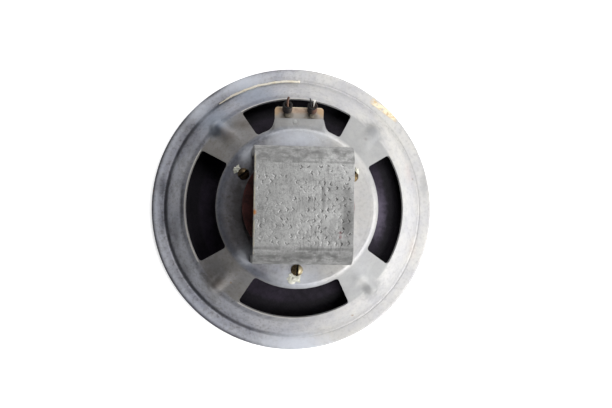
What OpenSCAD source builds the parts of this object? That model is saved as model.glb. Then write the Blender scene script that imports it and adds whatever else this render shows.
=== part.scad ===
// Round paper-cone loudspeaker with a pressed steel basket and a strap yoke.
// It lies on its front gasket: +Z points to the magnet, +Y to the terminals.

/* [Front edge] */
// Thickness of the cardboard gasket on the front of the flange
gasket_t = 2.6; // [1.5:0.1:5]
// Radial width of the gasket
gasket_w = 8.8; // [5:0.1:9]
// Thickness of the paper edge that is glued under the gasket
edge_t = 0.4; // [0.2:0.05:0.8]
// Radial width of the corrugated part of the edge
edge_w = 7.2; // [5:0.1:9]
// Number of corrugations in the edge
edge_waves = 3; // [2:1:4]
// Height of the edge's corrugations, half of crest to trough
edge_wave_h = 0.55; // [0.2:0.05:0.8]

/* [Basket] */
// Radius over the turned rim
rim_r = 101; // [99:0.5:106]
// Thickness of the pressed sheet
sheet_t = 1.2; // [0.8:0.1:1.6]
// Depth of the turned rim, from the rear face of the flange
rim_drop = 3.3; // [2:0.1:4]
// Outer radius of the rim's bend
rim_bend = 1.5; // [1.3:0.1:1.9]
// Radial width of the flange, from the rim to the foot of the wall
flange_w = 9.6; // [9.4:0.1:11]
// Height of the wall, from the flange to the outer edge of the windows
wall_h = 14.8; // [12:0.2:18]
// Height of the basket, from the flange to the rear face of the hub
basket_h = 33.8; // [32:0.2:38]
// How far the steep foot of the wall leans inwards
wall_lean = 5.3; // [4:0.1:7]
// Height of the wall's steep foot
wall_rise = 6.9; // [5:0.1:9]
// Radius of the outer edge of the windows
window_outer_r = 76.5; // [74:0.5:79]
// Distance from the hub's knee to the inner edge of the windows
window_inset = 2.5; // [2:0.1:5]
// Angle that each of the four windows takes
window_angle = 61; // [40:1:66]
// Corner radius of the windows
window_corner = 2.2; // [1:0.1:4]
// Width of the hub's flat part outside the ring of the spider
hub_margin = 1.5; // [1:0.1:3]
// Distance from the hub's flat part to its knee, where the slope of the spokes would meet its plane
knee_w = 3.9; // [3:0.1:5]
// Radial length of the rounded shoulder outside the windows' inner edge
shoulder_w = 1.6; // [0.5:0.1:3]
// Radius of the hole in the middle of the hub
hub_hole_r = 20; // [17:0.5:23]
// Radius of the round-backed rib pressed in each spoke
rib_r = 10; // [8:0.5:12]
// Height of the rib over the spoke at its outer end
rib_rise = 3.8; // [2:0.2:5]
// Distance from the outer edge of the windows in to the rib's highest place
rib_inset = 0.5; // [0:0.1:3]
// Distance from the hub's knee to the place where the rib has run out
rib_lead = 0.6; // [0.2:0.1:3]
// Distance of the coined groove from the foot of the wall
groove_gap = 0.3; // [0.1:0.05:0.6]
// Width of the groove
groove_w = 0.9; // [0.5:0.1:1.2]
// Depth of the groove
groove_depth = 0.45; // [0.2:0.05:0.6]

/* [Terminals] */
// Width of the terminal tab at the hub
tab_root_w = 37; // [32:0.5:42]
// Width of the terminal tab at its end
tab_end_w = 33.6; // [30:0.2:36]
// Length of the tab past the inner edge of the windows
tab_reach = 4.6; // [3:0.1:6]
// Thickness of the terminal board
board_t = 1.5; // [1:0.1:2]
// Length of the board that stands out past the tab
board_out = 7.9; // [7:0.1:9]
// Corner radius of the board
board_corner = 2; // [1:0.1:3]
// Distance between the two solder lugs
lug_pitch = 17; // [15:0.5:22]
// Width of a solder lug
lug_w = 3.6; // [3:0.1:4]
// Thickness of a solder lug
lug_t = 0.5; // [0.3:0.05:0.8]
// Angle at which the lugs lean out from the axis
lug_lean = 28; // [15:1:35]
// Distance of a lug's rivet from the end of the tab
lug_y_gap = 2.4; // [2.2:0.1:3]
// Length of a lug's foot behind the rivet
lug_heel = 1.6; // [1.4:0.1:2]
// Length of a lug's foot in front of the rivet
lug_toe = 2.2; // [1.9:0.1:2.4]
// Length of the standing part of a lug
lug_rise = 5.8; // [5:0.1:7]
// Outer radius of an insulating sleeve
sleeve_r = 3.4; // [3:0.1:3.8]
// Wall of an insulating sleeve
sleeve_wall = 1; // [0.6:0.1:1]
// Length of an insulating sleeve
sleeve_len = 6.5; // [5:0.1:8]
// Radius of the lug rivets
lug_rivet_r = 1; // [0.8:0.1:1.2]
// Radius of the board's rivet
board_rivet_r = 1.1; // [0.9:0.05:1.2]
// How far the board's rivet sits left of the middle of the tab
board_rivet_off = 3; // [0:0.5:5]
// Height of a rivet's head
rivet_head_h = 0.7; // [0.4:0.1:1]
// Radius of a rivet's head, as a multiple of the rivet's radius
rivet_head_k = 1.8; // [1.5:0.05:2]
// Radius of the stub of copper wire
copper_r = 0.85; // [0.5:0.05:1]
// Width of the tinned blade at its end, three times that at its root
blade_w = 2; // [1:0.1:2.2]
// Radius of the stub of black wire
black_r = 0.5; // [0.3:0.05:0.6]

/* [Magnet] */
// Width of the steel strap that the yoke is bent from
yoke_w = 66; // [60:0.5:70]
// Length over the yoke's two arms
yoke_l = 77.4; // [72:0.2:82]
// Thickness of the strap
yoke_t = 5.3; // [4:0.1:6]
// Height of the yoke over the hub
yoke_h = 38; // [35:0.5:42]
// Outer radius of the yoke's bends
yoke_bend = 11; // [9:0.5:14]
// Radius of the top plate
plate_r = 38.3; // [36:0.1:38.6]
// Thickness of the top plate
plate_t = 6; // [5:0.5:8]
// Radius of the pole
pole_r = 12.5; // [12:0.1:13]
// Length of the pole in front of the top plate
pole_front = 1.5; // [0.5:0.1:2]
// Radius of the pole's foot and of the magnet
magnet_r = 19; // [17:0.5:22]
// Thickness of the pole's foot
pole_foot = 4; // [3:0.5:6]
// Width of the air gap round the pole
air_gap = 1.8; // [1.6:0.05:2.2]
// Height of the brass ring between the top plate and the pole's foot
ring_h = 7; // [6:0.5:8]
// Wall of the brass ring
ring_wall = 2.5; // [2:0.1:3]
// Radius of the circle of the four studs in the top plate
stud_pcd_r = 29; // [26:0.5:31]
// Radius of a stud
stud_r = 2; // [1.5:0.1:2.5]
// Depth of a stud in the top plate
stud_depth = 4; // [3:0.5:4.5]
// Thickness of a stud's head under the hub
stud_head_h = 1; // [0.6:0.1:1.4]
// Radial overhang of a stud's head
stud_head_over = 1.2; // [0.6:0.1:1.5]

/* [Clamp screws] */
// Distance from the yoke, or from a wider top plate, to the nearest head
screw_clear = 0.5; // [0.3:0.1:1.2]
// Radius of a screw's shank
screw_r = 2; // [1.5:0.1:2.2]
// Radius of a screw's head
screw_head_r = 4.1; // [3.5:0.1:4.2]
// Height of a screw's head
screw_head_h = 2.9; // [2:0.1:3.5]
// Width of a screw's slot
slot_w = 1.2; // [0.8:0.1:1.4]
// Depth of a screw's slot
slot_depth = 1.3; // [0.8:0.1:1.6]
// Radius of the hub's holes for the screws, with room to centre the spider
screw_hole_r = 2.7; // [2.5:0.1:3]
// Thickness of the spider's ring
spider_ring_t = 2.6; // [2:0.1:3.5]
// Width of the spider's ring inside the circle of the screws
ring_in_w = 3.7; // [3.2:0.1:5]
// Width of the spider's ring outside the circle of the screws
ring_out_w = 4.7; // [3.2:0.1:6]

/* [Spider] */
// Thickness of the spider's cloth
spider_t = 0.5; // [0.3:0.05:0.8]
// Number of corrugations in the spider
spider_waves = 6; // [4:1:8]
// Height of the spider's corrugations, half of crest to trough
spider_wave_h = 0.8; // [0.4:0.05:1]

/* [Cone] */
// Thickness of the cone's paper
cone_t = 0.7; // [0.4:0.05:1]
// Height of the cone's edge over the front of the flange
cone_edge_h = 3.3; // [3:0.1:5]
// Depth of the cone
cone_depth = 19.5; // [16:0.5:21]
// Bow of the cone's side, 1 when it is straight
cone_bow = 1.2; // [1:0.05:1.5]
// Length of the neck that is glued to the former
neck_h = 1.4; // [1:0.1:1.8]
// Radius of the dust cap
cap_r = 17; // [15:0.5:22]
// Height of the dust cap's dome
cap_h = 5; // [3:0.5:8]
// Thickness of the dust cap
cap_t = 0.6; // [0.4:0.05:1]

/* [Voice coil] */
// Gap between the pole and the former
former_gap = 0.35; // [0.3:0.05:0.45]
// Thickness of the former's paper
former_t = 0.15; // [0.1:0.01:0.2]
// Length of the former in front of the neck's foot
former_front = 0.6; // [0.2:0.1:1]
// Thickness of the winding
coil_t = 0.75; // [0.5:0.05:0.8]
// Height of the winding
coil_h = 7; // [6:0.5:8]
// Length of the former past the winding
former_tail = 0.5; // [0.2:0.1:1]

/* [Leads] */
// Diameter of a flexible lead
lead_d = 1.4; // [1:0.1:1.6]
// Distance of the eyelets in the cone from the inner edge of the windows, towards the axis
lead_inset = 5.9; // [4:0.1:8]
// Radius of an eyelet in the cone
eyelet_r = 1.2; // [1:0.1:1.4]
// Thickness of an eyelet's head
eyelet_head = 0.5; // [0.3:0.1:0.8]
// Height of an eyelet's head over the cone, which slopes below it
eyelet_stand = 0.6; // [0.5:0.1:1]
// Length of an eyelet's barrel in front of the cone
eyelet_barrel = 1.4; // [1:0.1:2]

/* [Fits] */
// Gap between the rim's bend and the pieces on the front of the flange
rim_gap = 0.2; // [0.1:0.05:0.4]
// Gap between the terminal board and the inner edge of the windows
board_gap = 0.1; // [0.05:0.05:0.3]
// Gap between two pieces that are glued
glue_gap = 0.1; // [0.05:0.01:0.2]
// Gap between two pieces on different bodies that are glued at rest
seam_gap = 0.2; // [0.15:0.01:0.3]
// Clearance round a shank, stud or rivet
shank_gap = 0.05; // [0.02:0.01:0.1]

/* [Hidden] */
$fn = 96;
// How far a cutter runs past what it cuts
past = 1;
// Gap between the dust cap's rim and the cone's front face
cap_seat = 0.35;

flange_front = gasket_t + edge_t;
flange_z = flange_front + sheet_t;
hub_z = flange_z + basket_h;
hub_front = hub_z - sheet_t;
foot_r = rim_r - flange_w;
inside_r = rim_r - sheet_t;
seat_r = rim_r - rim_bend - rim_gap;

// The screws stand clear of the yoke and the top plate, the spider's ring lies round them,
// and the hub ends outside that ring
screw_count = 3;
screw_turn = 30;
screw_pcd_r = max(yoke_l / 2, plate_r) + screw_clear + screw_head_r;
spider_ring_inner_r = screw_pcd_r - ring_in_w;
spider_ring_outer_r = screw_pcd_r + ring_out_w;
hub_flat_r = spider_ring_outer_r + hub_margin;
hub_knee_r = hub_flat_r + knee_w;
window_inner_r = hub_knee_r + window_inset;

// The wall leaves the flange steeply and runs into the spokes
window_z = flange_z + wall_h;
spoke_slope = (hub_z - window_z) / (window_outer_r - hub_knee_r);
shoulder_r = window_inner_r + shoulder_w;
shoulder_z = window_z + (window_outer_r - shoulder_r) * spoke_slope;
rib_end_r = window_outer_r - rib_inset;
rib_start_r = hub_knee_r + rib_lead;
rib_turn = 45;

plate_z = hub_z + plate_t;
ring_z = plate_z + ring_h;
foot_z = ring_z + pole_foot;
yoke_z = hub_z + yoke_h;
yoke_inside = yoke_z - yoke_t;
arm_inside = yoke_l / 2 - yoke_t;
plate_hole_r = pole_r + air_gap;
stud_count = 4;
stud_turn = 45;

spider_ring_z = hub_front - spider_ring_t;
former_r = pole_r + former_gap;
former_out_r = former_r + former_t;
coil_mid = hub_z + plate_t / 2;
former_top = coil_mid + coil_h / 2 + former_tail;

gasket_inner_r = seat_r - gasket_w;
edge_inner_r = gasket_inner_r - glue_gap;
cone_r = edge_inner_r - edge_w - seam_gap;
cone_edge_z = flange_front + cone_edge_h;
neck_r = former_out_r + glue_gap + cone_t;
neck_z = cone_edge_z + cone_depth;
spider_hub_z = neck_z + neck_h + glue_gap + spider_t;
spider_fall = spider_ring_z - spider_hub_z;

tab_end = window_inner_r + tab_reach;
board_end = tab_end + board_out;
board_z = hub_front - board_t;
board_lap = tab_reach - board_gap;
board_rivet_at = [-board_rivet_off, tab_end - tab_reach / 2, 0];
lug_y = tab_end + lug_y_gap;
lug_bend_y = lug_y + lug_toe;
lug_base_z = hub_front;
sides = [-1, 1];
// How far along the standing part of its lug a sleeve starts
sleeve_start = 2;

// Slots as they were left, for the right, left and bottom screw
slot_turns = [60, 40, 86];
// Runs of the ends of wire, from the tip of a lug
copper_run = [1.3, 6.2, 3];
blade_run = [0.3, 4.6, 3];
black_run = [-1.2, 5.4, 4];
blade_from = [0.5, 0, -0.5];
black_from = [-1.1, 0, 0];
// A lead's route from the eyelet in the cone to the lug's rivet: how far it bulges along X,
// and which share of the way it has gone along Y and Z
lead_from = [lug_pitch / 2, window_inner_r - lead_inset];
lead_mid = [[0.1, 0.02, 0.15], [0.5, 0.12, 0.32], [1.1, 0.33, 0.46], [1.4, 0.56, 0.57],
            [1.2, 0.76, 0.68], [0.6, 0.88, 0.79], [0.1, 0.95, 0.89]];

function unit(v) = v / norm(v);
function left(v) = [-v[1], v[0]];
function reversed(p) = [for (i = [len(p) - 1:-1:0]) p[i]];

// A path's points, each moved sideways by d
function beside(p, d) = [
    for (i = [0:len(p) - 1])
        let (a = unit(i > 0 ? p[i] - p[i - 1] : p[1] - p[0]),
             b = unit(i < len(p) - 1 ? p[i + 1] - p[i] : p[i] - p[i - 1]),
             n = unit(left(a) + left(b)))
        p[i] + n * d / (n * left(a))];

function arc(c, r, a1, a2, n) = [
    for (i = [0:n]) let (a = a1 + (a2 - a1) * i / n) c + r * [cos(a), sin(a)]];

function bezier(a, b, c, n) = [
    for (i = [0:n]) let (u = i / n) a * pow(1 - u, 2) + b * 2 * u * (1 - u) + c * pow(u, 2)];

// Height of the cone's rear face at distance r from the axis
function cone_z(r) = cone_edge_z + cone_depth * pow((cone_r - r) / (cone_r - neck_r), cone_bow);

// Rear face of the basket, from the rim inwards
function basket_path() = concat(
    [[rim_r, flange_z - rim_drop]],
    arc([rim_r - rim_bend, flange_z - rim_bend], rim_bend, 0, 90, 5),
    bezier([foot_r, flange_z], [foot_r - wall_lean, flange_z + wall_rise],
           [window_outer_r, window_z], 6),
    bezier([shoulder_r, shoulder_z], [hub_knee_r, hub_z], [hub_flat_r, hub_z], 6),
    [[0, hub_z]]);

function edge_path() = concat(
    [[seat_r, flange_front]],
    [for (i = [0:8 * edge_waves])
        let (u = i / (8 * edge_waves))
        [edge_inner_r - u * edge_w,
         flange_front + u * cone_edge_h - edge_wave_h * sin(360 * edge_waves * u) * sqrt(sin(180 * u))]]);

function spider_path() =
    let (outer = spider_ring_inner_r, inner = former_out_r + 2.2)
    concat(
        [[spider_ring_outer_r, spider_ring_z]],
        [for (i = [0:8 * spider_waves])
            let (u = i / (8 * spider_waves))
            [outer + (inner - outer) * u,
             spider_ring_z - spider_fall * u
                 - spider_wave_h * sin(360 * spider_waves * u) * sqrt(sin(180 * u))]],
        [[former_out_r + seam_gap, spider_hub_z]]);

function cone_path() = concat(
    [for (i = [0:12]) let (r = cone_r + (neck_r - cone_r) * i / 12) [r, cone_z(r)]],
    [[neck_r, neck_z + neck_h]]);

function cap_path() =
    let (rim = cone_z(cap_r) - cone_t - cap_seat, radius = (pow(cap_r, 2) + pow(cap_h, 2)) / (2 * cap_h),
         half = asin(cap_r / radius))
    arc([0, rim - cap_h + radius], radius, half - 90, -90, 8);

// One wall of sheet turned round the axis, t thick towards the front
module turned_sheet(path, t) {
    rotate_extrude() polygon(concat(path, reversed(beside(path, t))));
}

// A tube on the route p, as one closed mesh
module swept(p, d, sides) {
    n = len(p);
    rings = [for (i = [0:n - 1])
        let (t = unit(p[min(i + 1, n - 1)] - p[max(i - 1, 0)]), w = i == 0 || i == n - 1 ? [0, 0, 1] : t,
             u = unit(cross(w, [1, 0, 0])), v = cross(w, u))
        for (k = [0:sides - 1]) p[i] + d / 2 * (u * cos(360 * k / sides) + v * sin(360 * k / sides))];
    side = [for (i = [0:n - 2]) for (k = [0:sides - 1])
        let (a = i * sides + k, b = i * sides + (k + 1) % sides)
        each [[a, a + sides, b], [b, a + sides, b + sides]]];
    polyhedron(rings, concat(side, [[for (k = [0:sides - 1]) k],
                                    [for (k = [sides - 1:-1:0]) (n - 1) * sides + k]]));
}

// A straight rod from a to b
module rod(a, b, r1, r2) {
    d = b - a;
    translate(a) rotate([0, acos(d[2] / norm(d)), atan2(d[1], d[0])])
        cylinder(h = norm(d), r1 = r1, r2 = r2, $fn = 24);
}

module on_circle(r, count, first) {
    for ($i = [0:count - 1]) rotate(first + $i * 360 / count) translate([r, 0, 0]) children();
}

// The solid backs of the ribs: from a round nose in the wall they run out at the hub's knee
module ribs(r) {
    high = [rib_end_r, window_z + rib_inset * spoke_slope] + rib_rise * unit([spoke_slope, 1]);
    start = [rib_start_r, hub_z];
    run = unit(start - high);
    centre = high - rib_r * [run[1], -run[0]];
    for (a = [rib_turn:90:360]) rotate(a)
        translate([centre[0], 0, centre[1]]) rotate([0, -acos(run[1]), 0]) {
            sphere(r);
            cylinder(h = norm(start - high), r = r);
        }
}

// One window, with its corners filled round
module window_outline() {
    f = window_corner;
    half = window_angle / 2;
    reach = 2 * window_outer_r;
    difference() {
        intersection() {
            circle(window_outer_r);
            polygon([[0, 0], reach * [cos(half), -sin(half)], [reach, 0], reach * [cos(half), sin(half)]]);
        }
        circle(window_inner_r);
        for (s = sides) mirror([0, s < 0 ? 1 : 0]) rotate(-half) {
            difference() {
                translate([window_inner_r - past, -past]) square([f + past, f + past]);
                translate([window_inner_r + f, f]) circle(f);
            }
            difference() {
                translate([window_outer_r - f, -past]) square([f + past, f + past]);
                translate([window_outer_r - f, f]) circle(f);
            }
        }
    }
}

module tab_outline() {
    polygon([[-tab_root_w / 2, hub_flat_r - 2], [tab_root_w / 2, hub_flat_r - 2],
             [tab_root_w / 2, window_inner_r], [tab_end_w / 2, tab_end],
             [-tab_end_w / 2, tab_end], [-tab_root_w / 2, window_inner_r]]);
}

module basket() {
    path = basket_path();
    color("#c9ced2") difference() {
        union() {
            difference() {
                union() {
                    rotate_extrude() polygon(concat([[0, flange_z - rim_drop]], path));
                    ribs(rib_r);
                }
                rotate_extrude()
                    polygon(concat([[0, -past], [inside_r, -past]], beside(path, sheet_t)));
                ribs(rib_r - sheet_t);
                for (a = [0:90:270]) rotate(a) linear_extrude(hub_z + past) window_outline();
                translate([0, 0, flange_z - groove_depth]) difference() {
                    cylinder(h = past, r = foot_r + groove_gap + groove_w);
                    translate([0, 0, -past]) cylinder(h = 3 * past, r = foot_r + groove_gap);
                }
            }
            translate([0, 0, hub_front]) linear_extrude(sheet_t) tab_outline();
        }
        translate([0, 0, hub_front - past]) {
            cylinder(h = sheet_t + 2 * past, r = hub_hole_r);
            on_circle(screw_pcd_r, screw_count, screw_turn)
                cylinder(h = sheet_t + 2 * past, r = screw_hole_r);
            on_circle(stud_pcd_r, stud_count, stud_turn)
                cylinder(h = sheet_t + 2 * past, r = stud_r + shank_gap);
            translate(board_rivet_at)
                cylinder(h = sheet_t + 2 * past, r = board_rivet_r + shank_gap);
        }
    }
}

module front_gasket() {
    color("#8c7f6c") difference() {
        cylinder(h = gasket_t, r = seat_r);
        translate([0, 0, -past]) cylinder(h = gasket_t + 2 * past, r = gasket_inner_r);
    }
}

module surround() {
    color("#2b2729") turned_sheet(edge_path(), edge_t);
}

module spider_ring() {
    color("#a9a59a") translate([0, 0, spider_ring_z]) difference() {
        cylinder(h = spider_ring_t, r = spider_ring_outer_r);
        translate([0, 0, -past]) cylinder(h = spider_ring_t + 2 * past, r = spider_ring_inner_r);
        translate([0, 0, -past]) on_circle(screw_pcd_r, screw_count, screw_turn)
            cylinder(h = spider_ring_t + 2 * past, r = screw_r + shank_gap);
    }
}

module spider() {
    color("#b08a52") turned_sheet(spider_path(), spider_t);
}

module clamp_screws() {
    dome_r = (pow(screw_head_r, 2) + pow(screw_head_h, 2)) / (2 * screw_head_h);
    color("#9c7a4d") on_circle(screw_pcd_r, screw_count, screw_turn) {
        translate([0, 0, spider_ring_z]) cylinder(h = hub_z - spider_ring_z, r = screw_r);
        translate([0, 0, hub_z]) difference() {
            intersection() {
                cylinder(h = screw_head_h, r = screw_head_r);
                translate([0, 0, screw_head_h - dome_r]) sphere(dome_r);
            }
            rotate(slot_turns[$i] - screw_turn - $i * 360 / screw_count)
                translate([-screw_head_r - past, -slot_w / 2, screw_head_h - slot_depth])
                cube([2 * (screw_head_r + past), slot_w, slot_depth + past]);
        }
    }
}

// The yoke's section: a strap bent twice
module yoke_outline() {
    inner = yoke_bend - yoke_t;
    half = yoke_l / 2;
    translate([-half + yoke_bend, yoke_h - yoke_t]) square([yoke_l - 2 * yoke_bend, yoke_t]);
    for (s = sides) mirror([s < 0 ? 1 : 0, 0]) {
        translate([half - yoke_t, 0]) square([yoke_t, yoke_h - yoke_bend]);
        translate([half - yoke_bend, yoke_h - yoke_bend]) intersection() {
            difference() {
                circle(yoke_bend);
                circle(inner);
            }
            square(yoke_bend + past);
        }
    }
}

module yoke() {
    color("#8e9393") translate([-yoke_w / 2, 0, hub_z]) rotate([90, 0, 90])
        linear_extrude(yoke_w) yoke_outline();
}

module magnet() {
    color("#6f6c68") translate([0, 0, foot_z]) cylinder(h = yoke_inside - foot_z, r = magnet_r);
}

module pole_piece() {
    color("#77797b") {
        translate([0, 0, hub_z - pole_front]) cylinder(h = ring_z - hub_z + pole_front, r = pole_r);
        translate([0, 0, ring_z]) cylinder(h = pole_foot, r = magnet_r);
    }
}

module top_plate() {
    color("#5a2f2a") translate([0, 0, hub_z]) difference() {
        intersection() {
            cylinder(h = plate_t, r = plate_r);
            translate([-plate_r, -arm_inside, 0]) cube([2 * plate_r, 2 * arm_inside, plate_t]);
        }
        translate([0, 0, -past]) cylinder(h = plate_t + 2 * past, r = plate_hole_r);
        on_circle(stud_pcd_r, stud_count, stud_turn) translate([0, 0, -past])
            cylinder(h = stud_depth + past, r = stud_r + shank_gap);
    }
}

module gap_ring() {
    color("#b7924f") translate([0, 0, plate_z]) difference() {
        cylinder(h = ring_h, r = magnet_r);
        translate([0, 0, -past]) cylinder(h = ring_h - ring_wall + past, r = magnet_r - ring_wall);
        cylinder(h = ring_h + past, r = pole_r + shank_gap);
    }
}

module plate_studs() {
    color("#77797b") on_circle(stud_pcd_r, stud_count, stud_turn) {
        translate([0, 0, hub_front]) cylinder(h = sheet_t + stud_depth, r = stud_r);
        translate([0, 0, hub_front - stud_head_h]) cylinder(h = stud_head_h, r = stud_r + stud_head_over);
    }
}

// A rivet with two flat heads, its grip starting at height z
module rivet(r, z, grip) {
    translate([0, 0, z - rivet_head_h]) cylinder(h = rivet_head_h, r = r * rivet_head_k, $fn = 32);
    translate([0, 0, z]) cylinder(h = grip, r = r, $fn = 32);
    translate([0, 0, z + grip]) cylinder(h = rivet_head_h, r = r * rivet_head_k, $fn = 32);
}

module terminal_board() {
    end_half = tab_end_w / 2;
    c = board_corner;
    color("#b08058") translate([0, 0, board_z]) linear_extrude(board_t) difference() {
        union() {
            translate([-end_half, tab_end - board_lap])
                square([2 * end_half, board_lap + board_out - c]);
            translate([-end_half + c, tab_end]) square([2 * (end_half - c), board_out]);
            for (s = sides) translate([s * (end_half - c), board_end - c]) circle(c);
        }
        translate(board_rivet_at) circle(board_rivet_r + shank_gap);
        for (s = sides) translate([s * lug_pitch / 2, lug_y]) circle(lug_rivet_r + shank_gap);
    }
}

module board_rivet() {
    color("#c8c6bf") translate(board_rivet_at)
        rivet(board_rivet_r, board_z, board_t + sheet_t);
}

// A solder lug: a foot on the board, bent up to lean outwards
module lug(s) {
    lean = [sin(lug_lean), cos(lug_lean)];
    path = [[lug_y - lug_heel, lug_base_z], [lug_bend_y, lug_base_z],
            [lug_bend_y, lug_base_z] + lug_rise * lean];
    color("#b9b5ab") difference() {
        translate([s * lug_pitch / 2 - lug_w / 2, 0, 0]) rotate([90, 0, 90])
            linear_extrude(lug_w) polygon(concat(path, reversed(beside(path, lug_t))));
        translate([s * lug_pitch / 2, lug_y, lug_base_z - past])
            cylinder(h = lug_t + 2 * past, r = lug_rivet_r + shank_gap, $fn = 32);
    }
}

module lug_left() lug(-1);

module lug_right() lug(1);

module lug_rivets() {
    color("#c2a36a") for (s = sides) translate([s * lug_pitch / 2, lug_y, 0])
        rivet(lug_rivet_r, board_z, board_t + lug_t);
}

// A sleeve round the standing part of a lug
module sleeve(s) {
    bore_r = sleeve_r - sleeve_wall;
    color("#1c1b1d") translate([s * lug_pitch / 2, lug_bend_y, lug_base_z]) rotate([-lug_lean, 0, 0])
        translate([0, lug_t / 2, sleeve_start]) difference() {
            cylinder(h = sleeve_len, r = sleeve_r, $fn = 48);
            translate([0, 0, -past]) cylinder(h = sleeve_len + 2 * past, r = bore_r, $fn = 48);
        }
}

module sleeve_left() sleeve(-1);

module sleeve_right() sleeve(1);

// Middle of the end of a lug, where a wire is soldered on
function lug_tip(s) = [s * lug_pitch / 2, lug_bend_y + lug_rise * sin(lug_lean),
                       lug_base_z + lug_rise * cos(lug_lean) + copper_r + shank_gap];

module copper_stub() {
    color("#b06a3c") rod(lug_tip(-1), lug_tip(-1) + copper_run, copper_r, copper_r * 0.9);
}

module tinned_stub() {
    root = lug_tip(1) + blade_from;
    color("#d5d8d8") rod(root, root + blade_run, blade_w / 6, blade_w / 2);
}

module black_stub() {
    root = lug_tip(1) + black_from;
    color("#1c1b1d") rod(root, root + black_run, black_r, black_r * 0.8);
}

// A flexible lead, from the eyelet in the cone up to the lug's rivet
module lead(s) {
    foot = [lead_from[0], lead_from[1], cone_z(norm(lead_from)) + eyelet_stand + eyelet_head + seam_gap];
    top = [lug_pitch / 2, lug_y, board_z - rivet_head_h - glue_gap];
    way = top - foot;
    route = concat([foot], [for (m = lead_mid) foot + [m[0], m[1] * way[1], m[2] * way[2]]], [top]);
    color("#3a3330") swept([for (p = route) [s * p[0], p[1], p[2]]], lead_d, 8);
}

module lead_left() lead(-1);

module lead_right() lead(1);

module cone() {
    color("#252226") difference() {
        turned_sheet(cone_path(), cone_t);
        for (s = sides) translate([s * lead_from[0], lead_from[1], 0])
            cylinder(h = hub_z, r = eyelet_r + glue_gap, $fn = 32);
    }
}

module dust_cap() {
    color("#2f2b2e") turned_sheet(reversed(cap_path()), -cap_t);
}

module former() {
    color("#c9b48c") translate([0, 0, neck_z - former_front]) difference() {
        cylinder(h = former_top - neck_z + former_front, r = former_out_r);
        translate([0, 0, -past]) cylinder(h = hub_z, r = former_r);
    }
}

module voice_coil() {
    color("#a5562f") translate([0, 0, coil_mid - coil_h / 2]) difference() {
        cylinder(h = coil_h, r = former_out_r + coil_t);
        translate([0, 0, -past]) cylinder(h = coil_h + 2 * past, r = former_out_r);
    }
}

module cone_eyelets() {
    z = cone_z(norm(lead_from));
    color("#b7924f") for (s = sides) translate([s * lead_from[0], lead_from[1], 0]) {
        translate([0, 0, z - cone_t - eyelet_barrel])
            cylinder(h = cone_t + eyelet_barrel + eyelet_stand, r = eyelet_r, $fn = 32);
        translate([0, 0, z + eyelet_stand]) cylinder(h = eyelet_head, r = eyelet_r * 1.6, $fn = 32);
    }
}

basket();
front_gasket();
surround();
spider_ring();
spider();
clamp_screws();
yoke();
magnet();
pole_piece();
top_plate();
gap_ring();
plate_studs();
terminal_board();
board_rivet();
lug_left();
lug_right();
lug_rivets();
sleeve_left();
sleeve_right();
copper_stub();
tinned_stub();
black_stub();
lead_left();
lead_right();
cone();
dust_cap();
former();
voice_coil();
cone_eyelets();
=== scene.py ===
import math
import random

import bmesh
import bpy
from mathutils import Matrix, Vector, noise


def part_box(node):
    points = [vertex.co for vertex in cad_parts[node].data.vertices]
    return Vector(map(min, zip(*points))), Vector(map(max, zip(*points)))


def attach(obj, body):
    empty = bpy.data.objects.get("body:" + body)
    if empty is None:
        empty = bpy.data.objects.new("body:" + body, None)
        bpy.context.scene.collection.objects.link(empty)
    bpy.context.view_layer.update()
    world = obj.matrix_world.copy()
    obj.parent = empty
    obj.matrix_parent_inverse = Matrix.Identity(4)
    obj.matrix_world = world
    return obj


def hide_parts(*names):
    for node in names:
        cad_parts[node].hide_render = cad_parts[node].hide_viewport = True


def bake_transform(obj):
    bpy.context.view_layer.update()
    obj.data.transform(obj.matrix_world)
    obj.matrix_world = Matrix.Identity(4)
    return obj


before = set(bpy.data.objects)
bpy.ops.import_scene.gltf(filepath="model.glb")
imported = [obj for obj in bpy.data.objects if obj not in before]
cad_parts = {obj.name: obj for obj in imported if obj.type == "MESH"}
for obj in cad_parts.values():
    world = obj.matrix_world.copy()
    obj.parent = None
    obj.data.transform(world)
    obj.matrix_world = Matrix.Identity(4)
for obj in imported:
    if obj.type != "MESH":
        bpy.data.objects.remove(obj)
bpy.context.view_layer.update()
mm = 0.001
fullTurn = 2 * math.pi
quarterTurn = math.pi / 2
print("frame loaded,", len(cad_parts), "nodes")


def addObject(name, data):
    made = bpy.data.objects.new(name, data)
    bpy.context.scene.collection.objects.link(made)
    return made


# Camera, above the basket and to the left of its axis

cameraSettings = dict(place=(-0.0595, -0.0242, 0.650), aim=(0.0091, 0.0034, 0.0042), turn=0.913, lens=52.97)


def placeCamera(place, aim, turn, lens):
    camera = addObject("camera", bpy.data.cameras.new("camera"))
    ahead = (Vector(aim) - Vector(place)).normalized()
    tilt = math.radians(turn)
    right = ahead.cross(Vector((-math.sin(tilt), math.cos(tilt), 0))).normalized()
    up = right.cross(ahead)
    camera.matrix_world = Matrix.Translation(place) @ Matrix((right, up, -ahead)).transposed().to_4x4()
    camera.data.lens = lens
    camera.data.sensor_width = 36
    camera.data.clip_start = 0.01
    bpy.context.scene.camera = camera


placeCamera(**cameraSettings)


# Shader nodes. A paint builds the nodes of one material, or of one effect that materials share

def colour(code):
    parts = [int(code[i:i + 2], 16) / 255 for i in (1, 3, 5)]
    return tuple(p / 12.92 if p <= 0.04045 else ((p + 0.055) / 1.055) ** 2.4 for p in parts) + (1.0,)


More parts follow.
